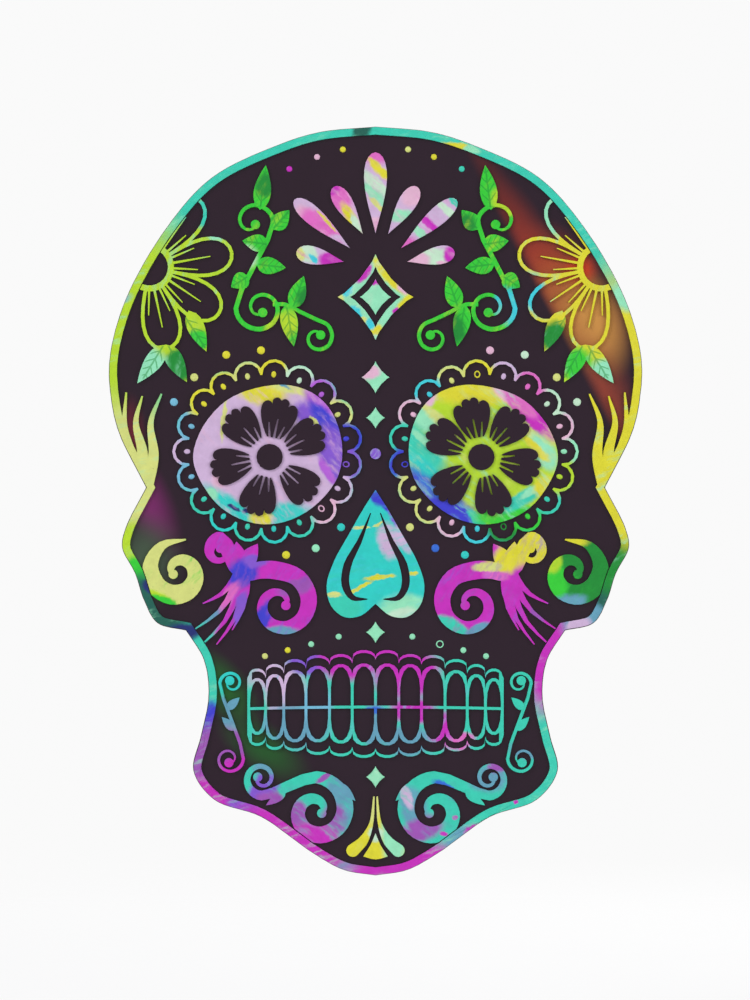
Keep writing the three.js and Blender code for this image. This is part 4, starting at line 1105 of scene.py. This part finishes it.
def fold_strap():
    bpy.ops.mesh.primitive_plane_add(size=2 * strap_half, location=(0, board_rear + sheet / 2, strap_low.z),
                                     rotation=(math.pi / 2, 0, 0))
    strap = bpy.context.object
    settle()
    pick(strap, lambda corner: True)
    bpy.ops.transform.resize(value=(1, 1, (hinge_z - strap_low.z) / (2 * strap_half)),
                             center_override=(0, 0, strap_low.z))
    bpy.ops.transform.translate(value=(0, 0, (hinge_z - strap_low.z) / 2))
    pick(strap, lambda corner: corner.z > hinge_z - near)
    meeting = math.acos((board_rear + 1.5 * sheet - hinge_y) / fold_radius)
    bpy.ops.mesh.spin(steps=28, angle=math.pi + meeting, center=(0, hinge_y, hinge_z), axis=(1, 0, 0))
    drop = hinge_z - math.sin(meeting) * fold_radius - strap_low.z
    bpy.ops.mesh.extrude_region_move(TRANSFORM_OT_translate={"value": (0, 0, -drop)})
    pick(strap, lambda corner: corner.z < strap_low.z + near, "VERT")
    bpy.ops.mesh.bevel(offset=leaf_corner, segments=6, affect="VERTICES")
    face_out()
    solid = strap.modifiers.new("sheet", "SOLIDIFY")
    solid.thickness = sheet
    solid.offset = 0
    solid.use_even_offset = True
    round_edges(strap, "worn edges", worn_edge)
    return smooth(strap, 35)


strap = lay(fold_strap(), "folded_strap", nickel)
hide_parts("hanger_strap")
compare(strap, strap_low, strap_high)

# %% [markdown]
# The screw's pan head is a short cylinder with a wide bevel on its outer rim. Two bars, taken out of it by a
# Boolean each, leave the cross for the driver.

# %% The screw
screw_low, screw_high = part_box("hanger_screw")
screw_z = (screw_low.z + screw_high.z) / 2
head_radius = (screw_high.x - screw_low.x) / 2
head_height = 1.5 * MM
head_round = 0.85 * MM
head_foot = screw_high.y - head_height
shank_radius = 1.2 * MM
slot_length = 3.4 * MM
slot_width = 0.75 * MM
slot_depth = 0.85 * MM
upright = (math.pi / 2, 0, 0)


def cut_cross(head):
    for wide, tall in ((slot_length, slot_width), (slot_width, slot_length)):
        bpy.ops.mesh.primitive_cube_add(size=1, location=(0, screw_high.y, screw_z))
        bar = bpy.context.object
        bar.scale = (wide, 2 * slot_depth, tall)
        settle()
        select_only(head)
        cut = head.modifiers.new("cross", "BOOLEAN")
        cut.object = bar
        cut.solver = "EXACT"
        bpy.ops.object.modifier_apply(modifier=cut.name)
        bpy.data.objects.remove(bar)


def turn_screw():
    bpy.ops.mesh.primitive_cylinder_add(vertices=48, radius=head_radius, depth=head_height, rotation=upright,
                                        location=(0, head_foot + head_height / 2, screw_z))
    head = bpy.context.object
    settle()
    pick(head, lambda corner: corner.y > screw_high.y - near)
    bpy.ops.mesh.bevel(offset=head_round, segments=6, affect="EDGES")
    bpy.ops.object.mode_set(mode="OBJECT")
    cut_cross(head)
    length = head_foot - screw_low.y
    bpy.ops.mesh.primitive_cylinder_add(vertices=24, radius=shank_radius, depth=length, rotation=upright,
                                        location=(0, head_foot - length / 2, screw_z))
    select_only(head, bpy.context.object)
    bpy.ops.object.join()
    return smooth(head, 30)


screw = lay(turn_screw(), "pan_head_screw", brushed_nickel("screw nickel", 40))
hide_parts("hanger_screw")
compare(screw, screw_low, screw_high)

# %% [markdown]
# A pad is a short cone of rubber with a rounded rim towards the wall. One is made and copied to each place.

# %% The wall pads
pad_taper = 0.8 * MM
pad_round = 0.7 * MM


def mould_pad(low, high):
    foot = (high.x - low.x) / 2
    bpy.ops.mesh.primitive_cone_add(
        vertices=48, radius1=foot, radius2=foot - pad_taper, depth=high.y - low.y, end_fill_type="NGON",
        location=(0, (low.y + high.y) / 2, 0), rotation=(-math.pi / 2, 0, 0),
    )
    pad = bpy.context.object
    settle()
    rounded = round_edges(pad, "moulded rim", pad_round, 5)
    bpy.ops.object.modifier_apply(modifier=rounded.name)
    return smooth(pad, 35)


pad_names = [name for name in nodes if name.startswith("wall_pad")]
first_pad = mould_pad(*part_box(pad_names[0]))
for name in pad_names:
    low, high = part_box(name)
    pad = copy_of(first_pad)
    pad.location = ((low.x + high.x) / 2, 0, (low.z + high.z) / 2)
    lay(pad, name.replace("wall", "rubber"), rubber)
    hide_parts(name)
bpy.data.objects.remove(first_pad)
print(len(pad_names), "pads")

# %% [markdown]
# ## The scene
# The camera faces the plaque squarely, as the photograph does. It stands far off with a long lens, so that
# the sides of the raised pieces stay hidden.

# %% Camera
photo_height = 400 * MM
lens = 180.0
sensor = 36.0
aim_left = 0.2 * MM
aim_drop = 149.6 * MM
camera_data = bpy.data.cameras.new("camera")
camera_data.lens = lens
camera_data.sensor_width = sensor
camera = bpy.data.objects.new("camera", camera_data)
bpy.context.collection.objects.link(camera)
distance = photo_height * lens / sensor
camera.location = (-aim_left, relief_front - distance, board_high.z - aim_drop)
camera.rotation_euler = (math.pi / 2, 0, 0)
bpy.context.scene.camera = camera
print(f"camera {distance:.2f} m away")

# %% [markdown]
# Three soft lamps stand at the upper left, at the right and behind. The background is near white to the
# camera and in reflections, and a middle grey to all other light, so that it doesn't wash out the plaque.

# %% Lights and surroundings
def soft_lamp(name, place, size, power):
    lamp_data = bpy.data.lights.new(name, "AREA")
    lamp_data.shape = "DISK"
    lamp_data.size = size
    lamp_data.energy = power
    lamp = bpy.data.objects.new(name, lamp_data)
    bpy.context.collection.objects.link(lamp)
    lamp.location = place
    aim = Vector((0, 0, board_low.z + skull_height / 2)) - Vector(place)
    lamp.rotation_euler = aim.to_track_quat("-Z", "Y").to_euler()


soft_lamp("key", (-1.5, -1.5, 1.2), size=1.3, power=34)
soft_lamp("fill", (1.7, -1.4, 0.5), size=1.5, power=22)
soft_lamp("back", (0.8, 1.9, 0.9), size=1.4, power=26)

near_white = (0.955, 0.955, 0.955, 1)
middle_grey = (0.44, 0.44, 0.45, 1)
world = bpy.data.worlds.new("studio")
bpy.context.scene.world = world
world.use_nodes = True
studio = Finish("studio", world.node_tree)
to_camera = studio.node("LightPath", output="Is Camera Ray")
in_mirror = studio.node("LightPath", output="Is Glossy Ray")
through = studio.node("LightPath", output="Is Transmission Ray")
room = studio.node("Background", sockets={"Color": middle_grey}, output="Background")
ground = studio.node("Background", sockets={"Color": near_white}, output="Background")
shows_ground = studio.larger(studio.larger(to_camera, in_mirror), through)
shown = studio.node("MixShader", sockets={0: shows_ground, 1: room, 2: ground}, output="Shader")
studio.node_end("OutputWorld", shown)
bpy.context.scene.view_settings.view_transform = "Standard"
print("three lamps")

# %% [markdown]
# The plaque hangs over a plain pale floor, which fades out far from it and is seen through from below.

# %% Floor
floor_drop = 90 * MM
floor_radius = 1.6
fade_start = 0.55
fade_end = 1.4
bpy.ops.mesh.primitive_circle_add(vertices=96, radius=floor_radius, fill_type="NGON",
                                  location=(0, 0, board_low.z - floor_drop))
floor = bpy.context.object
floor.name = "floor"
pale = Finish("pale floor")
here = pale.place()
far = pale.length(here)
grain = pale.noise(here, 3.0, 4.0)
board_colour = pale.dim((0.93, 0.93, 0.93), 0.98 + 0.04 * grain)
matt = pale.node("BsdfDiffuse", sockets={"Color": board_colour}, output="BSDF")
white = pale.node("Emission", sockets={"Color": near_white}, output="Emission")
seen = pale.node("LightPath", output="Is Camera Ray")
lit = pale.node("MixShader", sockets={0: seen * 0.6, 1: matt, 2: white}, output="Shader")
clear = pale.node("BsdfTransparent", output="BSDF")
from_below = pale.node("NewGeometry", output="Backfacing")
see_through = pale.larger(pale.step(far, fade_start, fade_end), from_below)
faded = pale.node("MixShader", sockets={0: see_through, 1: lit, 2: clear}, output="Shader")
pale.node_end("OutputMaterial", faded)
floor.data.materials.append(pale.material)
print("floor", round(floor_drop / MM), "mm below the chin")
